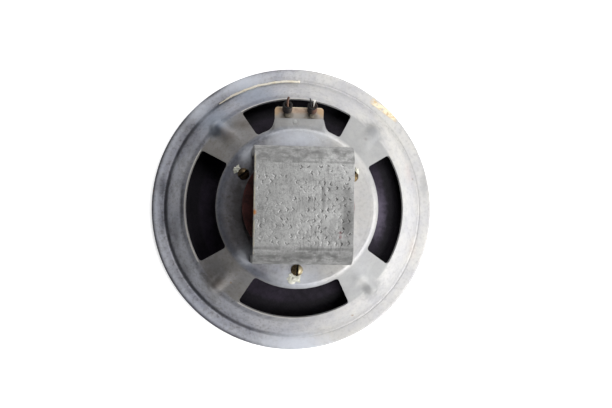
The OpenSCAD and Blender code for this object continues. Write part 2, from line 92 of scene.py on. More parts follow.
class Paint:
    def __init__(self, tree, base=None, tones=None):
        self.tree, self.base, self.tones = tree, base, tones or {}

    def feed(self, socket, value):    # a socket takes a link from another one, or a plain value
        if isinstance(value, bpy.types.NodeSocket):
            self.tree.links.new(value, socket)
        else:
            socket.default_value = value

    def add(self, kind, values=None, **settings):        # values go to sockets by name or number
        node = self.tree.nodes.new("ShaderNode" + kind)
        for key, value in settings.items():
            setattr(node, key, value)
        for key, value in (values or {}).items():
            self.feed(node.inputs[key], value)
        return node.outputs

    def maths(self, kind, *values):
        return self.add("Math", dict(enumerate(values)), operation=kind)[0]

    def vector(self, kind, *values):
        result = "Value" if kind in ("LENGTH", "DOT_PRODUCT") else "Vector"
        return self.add("VectorMath", dict(enumerate(values)), operation=kind)[result]

    def times(self, a, b):
        return self.maths("MULTIPLY", a, b)

    def minus(self, a, b):
        return self.maths("SUBTRACT", a, b)

    def linear(self, value, rise, start):
        return self.maths("MULTIPLY_ADD", value, rise, start)

    def away(self, value, middle):
        return self.maths("ABSOLUTE", self.minus(value, middle))

    def ramp(self, value, low, high):                    # 0 at low, 1 at high, smooth between
        return self.add("MapRange", {"Value": value, "From Min": low, "From Max": high},
                        interpolation_type="SMOOTHSTEP")["Result"]

    def point(self, stretch=(1, 1, 1), turn=(0, 0, 0)):
        place = self.add("TexCoord")["Object"]
        return self.add("Mapping", {"Vector": place, "Rotation": turn, "Scale": stretch})[0]

    def parts(self, vector):
        return self.add("SeparateXYZ", {0: vector})

    def facingUp(self, low, high):
        return self.ramp(self.parts(self.add("TexCoord")["Normal"])[2], low, high)

    def cloud(self, point, scale, low, high, detail=4.0, rough=0.55, distort=0.0):
        noiseNode = self.add("TexNoise", {"Vector": point, "Scale": scale, "Detail": detail,
                                          "Roughness": rough, "Distortion": distort})
        return self.ramp(noiseNode["Fac"], low, high)

    def wave(self, axis, scale, turn=(0, 0, 0), distort=0.0):
        return self.add("TexWave", {"Vector": self.point(turn=turn), "Scale": scale, "Distortion": distort},
                        bands_direction=axis)["Fac"]

    def between(self, share, a, b):
        return self.add("Mix", {0: share, 2: a, 3: b}, data_type="FLOAT")[0]

    def mix(self, mask, *tones):      # a tone is a name in tones, a colour code or a socket
        a, b = (colour(self.tones.get(t, t)) if isinstance(t, str) else t for t in tones)
        return self.add("Mix", {0: mask, 6: a, 7: b}, data_type="RGBA")[2]

    def tint(self, mask, tone, share=None):              # lays a tone over the colour so far
        self.base = self.mix(mask if share is None else self.times(mask, share), self.base, tone)

    def use(self, effect, **values):
        return self.add("Group", values, node_tree=effects[effect])[0]

    def stainsAndShading(self, marks, soft=0.55):                  # place, spread, size, share and tone of each
        for place, spread, size, share, tone in marks:
            self.tint(self.use("spot", place=place, spread=spread, size=size, soft=soft), tone, share)

    def shade(self, values):
        for title, value in values.items():
            self.feed(self.tree.nodes["Principled BSDF"].inputs[title], value)

    def close(self, rough, height, depth):               # depth of the bumps is in metres
        bumps = self.add("Bump", {"Distance": depth, "Height": height})[0]
        self.shade({"Base Color": self.base, "Roughness": rough, "Normal": bumps})
        return self.material


# Effects that materials share: each gives a mask or a height

def mottle(paint, scale, low, high, fine):               # cloudy patches in two sizes
    point = paint.point()
    coarse = paint.cloud(point, scale, low, high)
    return paint.between(fine, coarse, paint.cloud(point, paint.times(scale, 5.0), low, high, detail=6.0))


def specks(paint, scale, size, share):                   # small spots in some of the cells
    point = paint.point()
    wobble = paint.add("TexNoise", {"Vector": point, "Scale": paint.times(scale, 2.0)})["Color"]
    bent = paint.vector("MULTIPLY_ADD", wobble, (0.002, 0.002, 0.002), point)
    cells = paint.add("TexVoronoi", {"Vector": bent, "Scale": scale})
    parts = paint.add("SeparateColor", {0: cells["Color"]})
    inside = paint.maths("LESS_THAN", cells["Distance"], paint.times(size, parts[1]))
    return paint.times(inside, paint.maths("LESS_THAN", parts[0], share))


def scratches(paint, stretch, scale, width):             # thin lines along the axis with the small stretch
    point = paint.point()
    drawn = paint.vector("MULTIPLY", point, stretch)
    cloud = paint.add("TexNoise", {"Vector": drawn, "Scale": scale, "Detail": 2.0})["Fac"]
    line = paint.maths("LESS_THAN", paint.away(cloud, 0.5), width)
    return paint.times(line, paint.cloud(point, 45.0, 0.5, 0.62))


def ring(paint, radius, flat, width, uneven):            # a soft ring round the Z axis, uneven on its way
    point = paint.point()
    reach = paint.vector("LENGTH", paint.vector("MULTIPLY", point, (1, 1, 0)))
    band = paint.minus(1.0, paint.ramp(paint.minus(paint.away(reach, radius), flat), 0.0, width))
    patchy = paint.times(paint.cloud(point, 70.0, 0.35, 0.65), uneven)
    return paint.times(band, paint.minus(1.0, patchy))


def grain(paint, scale, coarse, share):                  # fine bumps for cast, painted and pressed surfaces
    point = paint.point()
    fine = paint.cloud(point, scale, 0.2, 0.8, detail=3.0)
    return paint.between(share, fine, paint.cloud(point, coarse, 0.2, 0.8, detail=2.0))


def spot(paint, place, spread, size, soft):              # a soft spot with a ragged edge, for stains and for painted shade and light
    point = paint.point()
    drawn = paint.vector("MULTIPLY", paint.vector("SUBTRACT", point, place), spread)
    ragged = paint.add("TexNoise", {"Vector": point, "Scale": 350.0})["Fac"]
    shift = paint.times(paint.minus(ragged, 0.5), size)
    away = paint.linear(shift, paint.linear(soft, -1.2, 1.6), paint.vector("LENGTH", drawn))
    inner = paint.times(size, paint.minus(1.0, soft))
    return paint.minus(1.0, paint.ramp(away, inner, size))


def newEffect(build, inputs):
    tree = bpy.data.node_groups.new(build.__name__, "ShaderNodeTree")
    for title, value in inputs.items():
        kind = "NodeSocketVector" if isinstance(value, tuple) else "NodeSocketFloat"
        tree.interface.new_socket(title, in_out="INPUT", socket_type=kind).default_value = value
    tree.interface.new_socket("mask", in_out="OUTPUT", socket_type="NodeSocketFloat")
    given = tree.nodes.new("NodeGroupInput").outputs
    mask = build(Paint(tree), **{title: given[title] for title in inputs})
    tree.links.new(mask, tree.nodes.new("NodeGroupOutput").inputs["mask"])
    return tree


# Usual values of each effect, lengths in metres
effects = {build.__name__: newEffect(build, inputs) for build, inputs in (
    (mottle, dict(scale=60.0, low=0.4, high=0.65, fine=0.35)),
    (specks, dict(scale=300.0, size=0.2, share=0.3)),
    (scratches, dict(stretch=(1.0, 0.05, 1.0), scale=400.0, width=0.02)),
    (ring, dict(radius=0.05, flat=0.0, width=0.002, uneven=0.3)),
    (grain, dict(scale=900.0, coarse=150.0, share=0.5)),
    (spot, dict(place=(0.0, 0.0, 0.0), spread=(1.0, 1.0, 1.0), size=0.01, soft=0.55)))}
print("effects ready,", len(effects))


# Materials. Lengths in them are metres, and every constant sits on the shader's own socket

def newMaterial(name, base, tones=None, **constants):
    material = bpy.data.materials.new(name)
    material.use_nodes = True
    paint = Paint(material.node_tree, base, tones)
    paint.material = material
    paint.shade({title.replace("_", " "): value for title, value in constants.items()})
    return paint


def metal(name, base, dark, rough, depth, scale=80.0, shine=0.9):
    paint = newMaterial(name, base, Metallic=shine)
    patches = paint.use("mottle", scale=scale)
    paint.tint(patches, dark)
    return paint.close(paint.linear(patches, 0.18, rough), paint.use("grain", scale=1500.0), depth)


def plain(name, base, other, rough, depth, scale=120.0, fineScale=900.0, **constants):
    paint = newMaterial(name, base, **constants)
    patches = paint.use("mottle", scale=scale, low=0.35, high=0.7)
    paint.tint(patches, other)
    return paint.close(paint.linear(patches, 0.12, rough), paint.use("grain", scale=fineScale), depth)


zincTones = dict(light="#cac8c4", coolShade="#b2b3bd", blue="#9b9dab", warm="#858078", bloom="#d6d5d2",
                 dirt="#6f6c6a", dull="#8f9091", rust="#8a6a4c", brown="#665d57", cream="#f3efe6",
                 shade="#33333a", deepShade="#1c1a1b", pale="#dde1ea", pink="#c3a79c", grey="#8b8c8e",
                 amber="#cdb48c", paper="#e8dcc0", navy="#3b4354", steel="#8c9aae")
# Rings in metres, mostly painted shade and painted light along the sheet's bends on the left, away from the
# lamps: radius, flat half, soft edge, unevenness, share on the left and on the right, tone
zincShadeRings = [(0.0502, 0.0, 0.0012, 0.4, 0.0, 0.14, "dirt"),
             (0.0910, 0.0003, 0.0017, 0.20, 0.90, 0.02, "shade"),
             (0.1008, 0.0, 0.0028, 0.1, 0.85, 0.15, "shade"),
             (0.0975, 0.0, 0.0030, 0.5, 0.35, 0.0, "pale"),
             (0.0840, 0.0010, 0.0040, 0.5, 0.25, 0.0, "pale"),
             (0.0548, 0.0003, 0.0018, 0.3, 0.60, 0.0, "navy"),
             (0.0500, 0.0020, 0.0030, 0.3, 0.50, 0.0, "shade"),
             (0.0540, 0.0012, 0.0018, 0.4, 0.0, 0.22, "grey"),
             (0.0526, 0.0006, 0.0026, 0.2, 0.60, 0.0, "navy"),
             (0.0794, 0.0005, 0.0018, 0.2, 0.42, 0.05, "shade")]
# Stains, painted shade and painted light in metres: place, spread, size, share, tone
zincStainsAndShading = [((-0.0939, 0.0140, 0.004), (1, 0.5, 1), 0.0060, 0.55, "shade"),
              ((-0.0924, -0.0106, 0.004), (1, 0.4, 1), 0.0055, 0.40, "shade"),
              ((-0.0838, -0.0190, 0.012), (1, 0.25, 0.6), 0.0050, 0.40, "shade"),
              ((-0.0860, 0.0300, 0.010), (1, 0.3, 0.6), 0.0050, 0.40, "pale"),
              ((-0.0740, 0.0500, 0.012), (1, 0.7, 0.5), 0.0140, 0.30, "shade"),
              ((-0.0790, -0.0480, 0.009), (0.8, 0.6, 0.5), 0.0120, 0.30, "shade"),
              ((0.0960, 0.0200, 0.004), (1.6, 0.5, 1), 0.0080, 0.45, "grey"),
              ((0.0545, 0.0520, 0.022), (1, 1, 0.5), 0.0085, 0.40, "grey"),
              ((0.0480, 0.0490, 0.028), (1, 1, 0.5), 0.0020, 0.35, "brown"),
              ((0.0570, 0.0630, 0.016), (1, 1, 0.5), 0.0014, 0.60, "brown"),
              ((0.0545, -0.0580, 0.020), (1, 0.8, 0.5), 0.0085, 0.35, "grey"),
              # Painted light over the shaded flank of the lower right rib's nose
              ((0.0466, -0.0509, 0.026), (1, 1, 0.4), 0.0065, 0.55, "bloom"),
              ((0.0560, -0.0590, 0.020), (1, 1, 0.4), 0.0060, 0.40, "bloom"),
              ((0.0840, 0.0300, 0.012), (1, 0.4, 0.6), 0.0060, 0.30, "pink"),
              ((0.0880, -0.0280, 0.008), (1, 0.4, 0.6), 0.0050, 0.25, "pink"),
              # Painted shadow of the yoke on the hub's left
              ((-0.0425, 0.0104, 0.036), (1, 0.6, 1), 0.0060, 0.70, "shade"),
              ((-0.0400, -0.0040, 0.036), (0.8, 0.32, 1), 0.0140, 0.75, "brown"),
              ((-0.0380, 0.0000, 0.036), (0.8, 0.30, 1), 0.0140, 0.45, "shade"),
              # Painted reflections on the hub beside the yoke's left corners
              ((-0.0335, 0.0340, 0.036), (1, 1, 0.5), 0.0095, 0.75, "pale"),
              ((-0.0345, -0.0345, 0.036), (1, 1, 0.5), 0.0095, 0.75, "pale"),
              # Painted shade at the foot of the wall and outside the window's edge, on the left
              ((-0.0920, 0.0000, 0.006), (1.2, 0.15, 1), 0.0040, 0.75, "shade"),
              ((-0.0795, 0.0000, 0.018), (1.6, 0.09, 0.6), 0.0035, 0.85, "shade"),
              ((-0.0380, 0.0570, 0.028), (0.5, 1, 0.4), 0.0060, 0.70, "brown"),
              ((-0.0520, 0.0520, 0.024), (1, 1, 0.4), 0.0080, 0.60, "brown"),
              # Painted shade at the upper left rib's nose and along its fold
              ((-0.0565, 0.0525, 0.020), (1, 1, 0.4), 0.0062, 1.0, "shade"),
              ((-0.0470, 0.0482, 0.026), (1, 1, 0.4), 0.0070, 0.55, "brown"),
              ((-0.0600, 0.0510, 0.020), (1, 1, 0.4), 0.0045, 0.70, "shade"),
              ((-0.0568, 0.0512, 0.020), (1, 1, 0.4), 0.0042, 0.95, "deepShade"),
              # Painted light on the flange, upper left and at the bottom
              ((-0.0380, 0.0890, 0.004), (0.5, 1, 1), 0.0130, 0.75, "pale"),
              ((0.0000, -0.0970, 0.004), (0.3, 1, 1), 0.0130, 0.75, "pale"),
              # Painted shade over the lower left spoke; the brown at its rib's nose is partly stain and
              # partly painted shade
              ((-0.0570, -0.0430, 0.025), (1, 1, 0.4), 0.0150, 0.42, "shade"),
              ((-0.0596, -0.0505, 0.021), (1, 0.8, 0.4), 0.0085, 0.45, "brown"),
              ((-0.0520, -0.0530, 0.024), (1, 1, 0.4), 0.0060, 0.45, "brown"),
              # Painted light on the hub above and below the yoke
              ((0.0000, 0.0470, 0.036), (0.35, 1, 1), 0.0110, 0.80, "pale"),
              ((0.0000, -0.0500, 0.036), (0.40, 1, 1), 0.0110, 0.60, "pale"),
              ((0.0000, 0.0580, 0.036), (0.50, 1.4, 0.4), 0.0100, 0.22, "bloom"),
              ((0.0440, 0.0000, 0.036), (1, 0.3, 1), 0.0130, 0.35, "grey"),
              ((-0.0575, 0.0605, 0.013), (0.8, 0.8, 0.3), 0.0140, 0.60, "steel"),
              ((-0.0690, 0.0690, 0.004), (0.8, 0.8, 1), 0.0110, 0.50, "pale"),
              ((-0.0300, 0.0800, 0.013), (0.5, 0.9, 0.3), 0.0120, 0.45, "steel"),
              ((-0.0020, 0.0570, 0.036), (1, 1, 0.5), 0.0035, 0.40, "dirt"),
              ((0.0000, 0.0610, 0.036), (0.35, 1, 0.4), 0.0045, 0.20, "grey")]
# Torn remains of a paper label: a strip across the flange, its direction and its place in metres
labelNormal, labelRun, labelReach = (0.581, 0.814, 0), (0.814, -0.581, 0), (0.0978, 0.0108)
# Layers of the label: scale of the noise, half width, half length, tone
labelLayers = [(190.0, 0.0027, 0.0130, "amber"), (260.0, 0.0024, 0.0118, "paper")]


def zincSheet():
    paint = newMaterial("zincSheet", "light", zincTones, Metallic=0.22)
    point = paint.point()
    x, y = paint.parts(point)[:2]
    # Painted shade: the left half, away from the lamps, is tinted cooler and gets more blue mottle and dirt
    left = paint.ramp(x, 0.035, -0.060)
    shadedSideShare = lambda onLeft, onRight: paint.linear(left, onLeft - onRight, onRight)
    paint.tint(left, "coolShade", 0.9)
    paint.tint(paint.use("mottle", scale=38.0, low=0.38, high=0.66), "blue", shadedSideShare(1.0, 0.45))
    bloom = paint.cloud(point, 22.0, 0.5, 0.72, detail=8.0, rough=0.7)
    paint.tint(bloom, "bloom", 0.6)
    grimeAndShade = paint.times(paint.cloud(point, 55.0, 0.50, 0.72, detail=9.0, rough=0.7), shadedSideShare(0.48, 0.18))
    paint.tint(grimeAndShade, "dirt")
    paint.tint(paint.cloud(point, 240.0, 0.48, 0.70, detail=6.0, rough=0.65), "dirt", shadedSideShare(0.48, 0.06))
    paint.tint(paint.cloud(point, 520.0, 0.48, 0.72), "dirt", shadedSideShare(0.66, 0.20))
    spokes = paint.use("ring", radius=0.0663, flat=0.0100, width=0.0022, uneven=0.2)
    for side, end in ((1, 1), (-1, 1), (-1, -1), (1, -1)):
        nose = paint.use("spot", place=(side * 0.0550, end * 0.0550, 0.021), spread=(1, 1, 0.3),
                         size=0.0130, soft=0.80)
        spokes = paint.maths("MAXIMUM", spokes, nose)
    paint.tint(spokes, paint.mix(left, "dull", "warm"), 0.8)
    for radius, flat, width, uneven, onLeft, onRight, tone in zincShadeRings:
        band = paint.use("ring", radius=radius, flat=flat, width=width, uneven=uneven)
        paint.tint(band, tone, shadedSideShare(onLeft, onRight))
    # Painted highlight along the cut edge of the windows, mostly on the left
    nearest = paint.maths("MINIMUM", paint.maths("ABSOLUTE", x), paint.maths("ABSOLUTE", y))
    cut = paint.times(paint.use("ring", radius=0.0775, width=0.00065, uneven=0.1),
                      paint.ramp(nearest, 0.0398, 0.0385))
    paint.tint(cut, "cream", shadedSideShare(1.0, 0.05))
    paint.stainsAndShading(zincStainsAndShading, soft=0.95)
    for scale, wide, half, tone in labelLayers:
        across, along = (paint.away(paint.vector("DOT_PRODUCT", point, way), reach)
                         for way, reach in zip((labelNormal, labelRun), labelReach))
        paper = paint.times(paint.ramp(across, wide, wide - 0.0010), paint.ramp(along, half, half - 0.0030))
        paint.tint(paper, tone, paint.cloud(point, scale, 0.41, 0.52, detail=6.0, rough=0.65))
    paint.tint(paint.use("specks", scale=160.0, size=0.16, share=0.12), "rust", 0.6)
    lines = paint.use("scratches", stretch=(1.0, 0.35, 1.0), scale=220.0, width=0.006)
    height = paint.minus(paint.use("grain", scale=1400.0, coarse=260.0), lines)
    return paint.close(paint.linear(grimeAndShade, 0.3, paint.linear(bloom, 0.12, 0.44)), height, 0.00005)


yokeTones = dict(light="#b3b3b2", cloud="#868685", grain="#5a5a59", band="#646463", edge="#aaa390",
                 rust="#b0713a", red="#7d5558", bright="#b9b9b8")
# Stains in metres: place, spread, size, share, tone
yokeStains = [((-0.0320, -0.0054, 0.0758), (1, 1, 1), 0.0026, 1.0, "rust"),
              ((0.0242, -0.0178, 0.0760), (1, 1, 1), 0.0014, 0.7, "red"),
              ((0.0242, -0.0205, 0.0760), (1, 0.7, 1), 0.0013, 0.6, "red"),
              ((0.0130, 0.0055, 0.0760), (1, 0.09, 1), 0.0016, 0.60, "band"),
              ((0.0120, 0.0080, 0.0760), (1, 0.10, 1), 0.0010, 0.5, "band"),
              ((0.0170, 0.0100, 0.0760), (1, 0.12, 1), 0.0010, 0.4, "band"),
              ((0.0283, -0.0100, 0.0760), (1, 0.35, 1), 0.0050, 0.75, "band"),
              ((0.0285, 0.0080, 0.0760), (1, 0.50, 1), 0.0035, 0.4, "band"),
              ((0.0060, 0.0320, 0.0755), (0.5, 1, 1), 0.0050, 0.5, "band"),
              ((-0.0200, 0.0300, 0.0755), (0.6, 1, 1), 0.0040, 0.4, "band"),
              ((-0.0050, -0.0330, 0.0750), (0.3, 1, 1), 0.0040, 0.5, "band")]
# Painted highlights and painted shade across the strap where it starts to bend: place along Y, width, share,
# tone
yokeBendShading = [(0.0262, 0.0010, 0.35, "bright"), (0.0275, 0.0012, 0.45, "band"),
             (-0.0284, 0.0012, 0.50, "band"), (-0.0300, 0.0010, 0.30, "bright"),
             (0.0300, 0.0010, 0.30, "band")]


def yokeSteel():
    paint = newMaterial("yokeSteel", "light", yokeTones, Metallic=0.3)
    point = paint.point()
    x, y, z = paint.parts(point)
    left = paint.ramp(x, 0.012, -0.025)
    clouds = paint.cloud(point, 110.0, 0.40, 0.66)
    paint.tint(clouds, "cloud", paint.linear(left, -0.22, 0.62))
    paint.tint(left, "cloud", 0.36)
    for scale, share in ((650.0, 0.42), (1500.0, 0.45)):
        paint.tint(paint.cloud(point, scale, 0.45, 0.72, detail=3.0), "grain", share)
    blotches = paint.cloud(paint.point(stretch=(0.6, 1, 1)), 260.0, 0.40, 0.66, detail=5.0)
    # Painted shade over the strap's bends, stronger on the lower one
    lower = paint.linear(paint.ramp(y, 0.0, -0.028), 0.20, 0.13)
    paint.tint(paint.ramp(paint.maths("ABSOLUTE", y), 0.0250, 0.0300), "band",
               paint.linear(blotches, 0.65, lower))
    broken = paint.cloud(point, 120.0, 0.42, 0.5)
    for place, width, share, tone in yokeBendShading:
        paint.tint(paint.ramp(paint.away(y, place), width, 0.0), tone, paint.times(broken, share))
    right = paint.times(paint.ramp(x, 0.0235, 0.0275), paint.ramp(y, 0.018, -0.006))
    paint.tint(right, "band", 0.42)
    lines = paint.use("scratches", stretch=(1.0, 0.02, 1.0), scale=620.0, width=0.012)
    paint.tint(lines, "band", 0.45)
    leftEdge = paint.times(paint.ramp(x, -0.0308, -0.0317), paint.ramp(z, 0.0746, 0.0757))
    paint.tint(leftEdge, "edge", paint.cloud(point, 420.0, 0.38, 0.5))
    paint.stainsAndShading(yokeStains, soft=0.8)
    height = paint.minus(paint.use("grain", scale=1300.0, coarse=420.0), lines)
    return paint.close(paint.linear(clouds, 0.12, 0.5), height, 0.00014)


def resinBoard():
    paint = newMaterial("resinBoard", "#b49d89", Coat_Weight=0.15, Coat_Roughness=0.4)
    y = paint.parts(paint.point())[1]
    patches = paint.use("mottle", scale=160.0, high=0.62)
    paint.tint(patches, "#98816e")
    paint.tint(paint.ramp(y, 0.0658, 0.0628), "#9b9791", 0.9)
    # Painted highlight along the top edge
    paint.tint(paint.ramp(y, 0.0677, 0.0682), "#ddcfb4")
    fibre = paint.cloud(paint.point(stretch=(0.15, 1, 1)), 1500.0, 0.45, 0.7, detail=2.0)
    paint.tint(fibre, "#8d6f55", 0.25)
    for side in (-1, 1):              # painted shadow below each sleeve, round its rivet, and flux beside it
        paint.stainsAndShading([((side * 0.0085, 0.0625, 0.037), (1, 1, 1), 0.0056, 0.6, "#5f574b"),
                      ((side * 0.0158, 0.0655, 0.036), (1, 1, 1), 0.0042, 0.6, "#b5966e")])
    return paint.close(paint.linear(patches, 0.15, 0.45), fibre, 0.00003)


def sleeveRubber():                   # black, with a brown patch on the right of each sleeve that is partly stain and partly painted highlight, and painted shade on top
    paint = newMaterial("sleeveRubber", "#262325", Specular_IOR_Level=0.25)
    patches = paint.use("mottle", scale=300.0)
    paint.tint(patches, "#35302f")
    paint.stainsAndShading([((-0.0058, 0.0690, 0.0425), (1, 0.4, 0.4), 0.0034, 0.85, "#5a524b"),
                  ((0.0108, 0.0690, 0.0425), (1, 0.4, 0.4), 0.0044, 0.85, "#75574a")], soft=0.7)
    # Painted shade over the faces that point up, hiding the lit rim round the bore
    paint.tint(paint.facingUp(0.60, 0.80), "#080708")
    return paint.close(paint.linear(patches, 0.12, 0.55), paint.use("grain"), 0.00006)


# The screws' sizes in millimetres stand here, as their material paints shade into the slots
screwSize = dict(circle=43.3, angles=(30, 150, 270), slots=(60, 40, 86), shankR=2.0, low=34.2,
                 hub=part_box("basket")[1].z / mm, headR=4.1, headH=2.9, slotW=1.4, slotDepth=1.5,
                 edgeRound=0.14, steps=40, rings=12)


def polar(radius, degrees, z=0.0):
    turn = math.radians(degrees)
    return Vector((radius * math.cos(turn), radius * math.sin(turn), z))


def screwBrass():                     # darker towards the left, with a painted highlight beside the lower slot and painted shade in the slots
    paint = newMaterial("screwBrass", "#a08a62", Metallic=0.7)
    x = paint.parts(paint.point())[0]
    patches = paint.use("mottle", scale=260.0, high=0.6)
    paint.tint(patches, "#3d3223")
    paint.tint(paint.ramp(x, -0.010, -0.030), "#3a2c25", 0.60)
    # Painted highlight on the lower screw
    paint.stainsAndShading([((0.0026, -0.0435, 0.038), (1, 0.6, 0.4), 0.0028, 0.55, "#e6d8b4")])
    flat = paint.point(stretch=(1, 1, 0))
    # Painted shade in each slot
    for angle, slot in zip(screwSize["angles"], screwSize["slots"]):
        offset = paint.vector("SUBTRACT", flat, polar(screwSize["circle"] * mm, angle))
        across = paint.maths("ABSOLUTE", paint.vector("DOT_PRODUCT", offset, polar(1.0, slot + 90)))
        inSlot = paint.maths("LESS_THAN", across, screwSize["slotW"] * mm / 2)
        inHead = paint.maths("LESS_THAN", paint.vector("LENGTH", offset), screwSize["headR"] * mm)
        paint.tint(paint.times(inSlot, inHead), "#0e0b08", 0.9)
    height = paint.use("grain", scale=2200.0, coarse=700.0)
    return paint.close(paint.linear(patches, 0.3, 0.32), height, 0.00004)


def redPrimer():
    paint = newMaterial("redPrimer", "#6a3632", Coat_Weight=0.1, Coat_Roughness=0.5)
    patches = paint.use("mottle", scale=140.0)
    paint.tint(patches, "#47231f")
    paint.tint(paint.use("specks", scale=240.0, size=0.22, share=0.15), "#8b8178")
    return paint.close(paint.linear(patches, 0.15, 0.55), paint.use("grain", scale=1800.0), 0.00005)


def conePaper():                      # painted shade towards the edge, where the basket's wall shades the cone, and a painted pool of light on the right of the rear face
    paint = newMaterial("conePaper", "#2b2431", Specular_IOR_Level=0.2)
    point = paint.point()
    patches = paint.use("mottle", scale=50.0)
    paint.tint(patches, "#17131c")
    fibres = paint.cloud(point, 1400.0, 0.58, 0.78, detail=8.0, rough=0.75, distort=1.5)
    paint.tint(fibres, "#3c3444")
    paint.tint(paint.use("ring", radius=0.0760, flat=0.0070, width=0.0040, uneven=0.1), "#0b0a0e", 0.8)
    inner = paint.use("spot", place=(0.0600, -0.0020, 0.014), spread=(1, 0.35, 0.3), size=0.0090, soft=0.9)
    paint.tint(paint.times(inner, paint.facingUp(0.0, 0.3)), "#5a5362", 0.8)
    height = paint.maths("ADD", paint.cloud(point, 900.0, 0.3, 0.7, detail=6.0), fibres)
    return paint.close(paint.linear(patches, 0.1, 0.62), height, 0.00012)


def spiderCloth():                    # resin-dipped linen, woven along X and Y
    paint = newMaterial("spiderCloth", "#6b4a22")
    woven = paint.maths("MAXIMUM", *(paint.wave(axis, 450.0, distort=0.6) for axis in "XY"))
    paint.tint(woven, "#b18a52")
    paint.tint(paint.use("mottle"), "#7c5629", 0.5)
    return paint.close(paint.linear(woven, 0.2, 0.5), woven, 0.0001)


def gasketBoard():
    paint = newMaterial("gasketBoard", "#8d7f6b")
    paint.tint(paint.use("mottle", scale=40.0), "#76695a")
    fibres = paint.cloud(paint.point(), 900.0, 0.55, 0.75, detail=8.0, rough=0.7, distort=1.0)
    paint.tint(fibres, "#b3a58c")
    layers = paint.cloud(paint.point(stretch=(1, 1, 12)), 250.0, 0.4, 0.6, detail=2.0)
    paint.tint(layers, "#5d5143", 0.25)
    return paint.close(paint.linear(fibres, 0.1, 0.85), paint.maths("ADD", fibres, layers), 0.00012)


def windingCopper():                  # turns of enamelled wire round the Z axis
    paint = newMaterial("windingCopper", "#5f2e17", Metallic=0.85)
    turns = paint.wave("Z", 1600.0)
    paint.tint(turns, "#b5653a")
    return paint.close(paint.linear(turns, 0.15, 0.3), turns, 0.00008)


def tinselLead():                     # braid of fine strands, slanting both ways
    paint = newMaterial("tinselLead", "#2a2320", Metallic=0.35)
    leans = (math.radians(40), math.radians(-40))
    braid = paint.maths("MAXIMUM", *(paint.wave("X", 700.0, turn=(lean, 0, lean)) for lean in leans))
    paint.tint(braid, "#857567")
    return paint.close(paint.linear(braid, -0.15, 0.6), braid, 0.00012)


def lacquerDab():
    paint = newMaterial("lacquerDab", "#f0eee4", Coat_Weight=0.3, Coat_Roughness=0.3)
    patches = paint.use("mottle", scale=420.0, low=0.35)
    paint.tint(patches, "#cfd0bd")
    height = paint.use("grain", scale=1500.0, coarse=600.0)
    return paint.close(paint.linear(patches, 0.25, 0.4), height, 0.0001)


finish = dict(
    zinc=zincSheet(), yoke=yokeSteel(), board=resinBoard(), screw=screwBrass(), primer=redPrimer(),
    cone=conePaper(), cloth=spiderCloth(), gasket=gasketBoard(), winding=windingCopper(),
    tinsel=tinselLead(), lacquer=lacquerDab(),
    magnet=metal("castMagnet", "#7d7a76", "#5a5753", 0.55, 0.00025, scale=200.0, shine=0.6),
    pole=metal("turnedSteel", "#8b8d8f", "#66676a", 0.38, 0.00003),
    brass=metal("brassPart", "#c09a55", "#8a6a38", 0.35, 0.00003),
    tinned=metal("tinnedBrass", "#c9c7c0", "#98938a", 0.33, 0.00003, scale=300.0),
    rivet=metal("rivetAlloy", "#b4b4b3", "#8f8f8e", 0.65, 0.00003, scale=300.0, shine=0.25),
    blade=metal("brightTin", "#f0eee8", "#b9b6ae", 0.4, 0.00003, scale=500.0, shine=0.3),
    lugRivet=metal("staledBrass", "#857e70", "#675f53", 0.7, 0.00003, scale=300.0, shine=0.3),
    copper=metal("copperWire", "#7f6152", "#46332b", 0.5, 0.00005, scale=450.0, shine=0.4),
    steelRing=metal("platedRing", "#b5b1a6", "#8a867c", 0.42, 0.00003),
    sleeve=sleeveRubber(),
    cover=plain("wireCover", "#19181a", "#2c2826", 0.6, 0.00004, scale=300.0),
    edge=plain("edgePaper", "#2d282b", "#1f1b1e", 0.8, 0.0001, scale=90.0, Sheen_Weight=0.3),
    felt=plain("capFelt", "#2c292d", "#201d21", 0.9, 0.0002, fineScale=1600.0, Sheen_Weight=0.6),
    tube=plain("formerPaper", "#c9b48c", "#a98f63", 0.7, 0.00004),
    glue=plain("driedGlue", "#f6f1e4", "#e6dcc4", 0.5, 0.00008, scale=220.0),
)
print("materials ready,", len(finish))


# Helpers for meshes. Sizes of the pieces are in millimetres

def spaced(start, end, count):        # even steps with both ends
    return [start + (end - start) * i / count for i in range(count + 1)]


def noiseAt(*place):
    return noise.noise(Vector(place))


def domeLine(rimRadius, height, rows):      # a round dome's section, from its rim to the axis
    ball = (rimRadius ** 2 + height ** 2) / (2 * height)
    half = math.asin(rimRadius / ball)
    return [(ball * math.sin(a), height - ball + ball * math.cos(a)) for a in spaced(half, 0, rows)]


def newLine(points, closed=False):    # points are (radius, height)
    mesh = bmesh.new()
    verts = [mesh.verts.new((r * mm, 0, z * mm)) for r, z in points]
    pairs = list(zip(verts, verts[1:])) + ([(verts[-1], verts[0])] if closed else [])
    for pair in pairs:
        mesh.edges.new(pair)
    return mesh


def spinLine(mesh, steps):
    bmesh.ops.spin(mesh, geom=mesh.verts[:] + mesh.edges[:], cent=(0, 0, 0), axis=(0, 0, 1), angle=fullTurn,
                   steps=steps, use_merge=True)
    bmesh.ops.remove_doubles(mesh, verts=mesh.verts[:], dist=1e-6)
    bmesh.ops.recalc_face_normals(mesh, faces=mesh.faces[:])
    return mesh


def turned(points, steps=96, closed=True):
    return spinLine(newLine(points, closed), steps)


def bevelEdges(mesh, width, segments=2, above=35, only=None):
    mesh.normal_update()
    limit = math.radians(above)
    sharp = [e for e in mesh.edges if len(e.link_faces) == 2 and e.calc_face_angle(0) > limit
             and (only is None or only(e))]
    bmesh.ops.bevel(mesh, geom=sharp, offset=width * mm, offset_type="OFFSET", segments=segments,
                    profile=0.5, affect="EDGES", clamp_overlap=True, material=-1)
    return mesh


def newVerts(made):
    return [g for g in made if isinstance(g, bmesh.types.BMVert)]


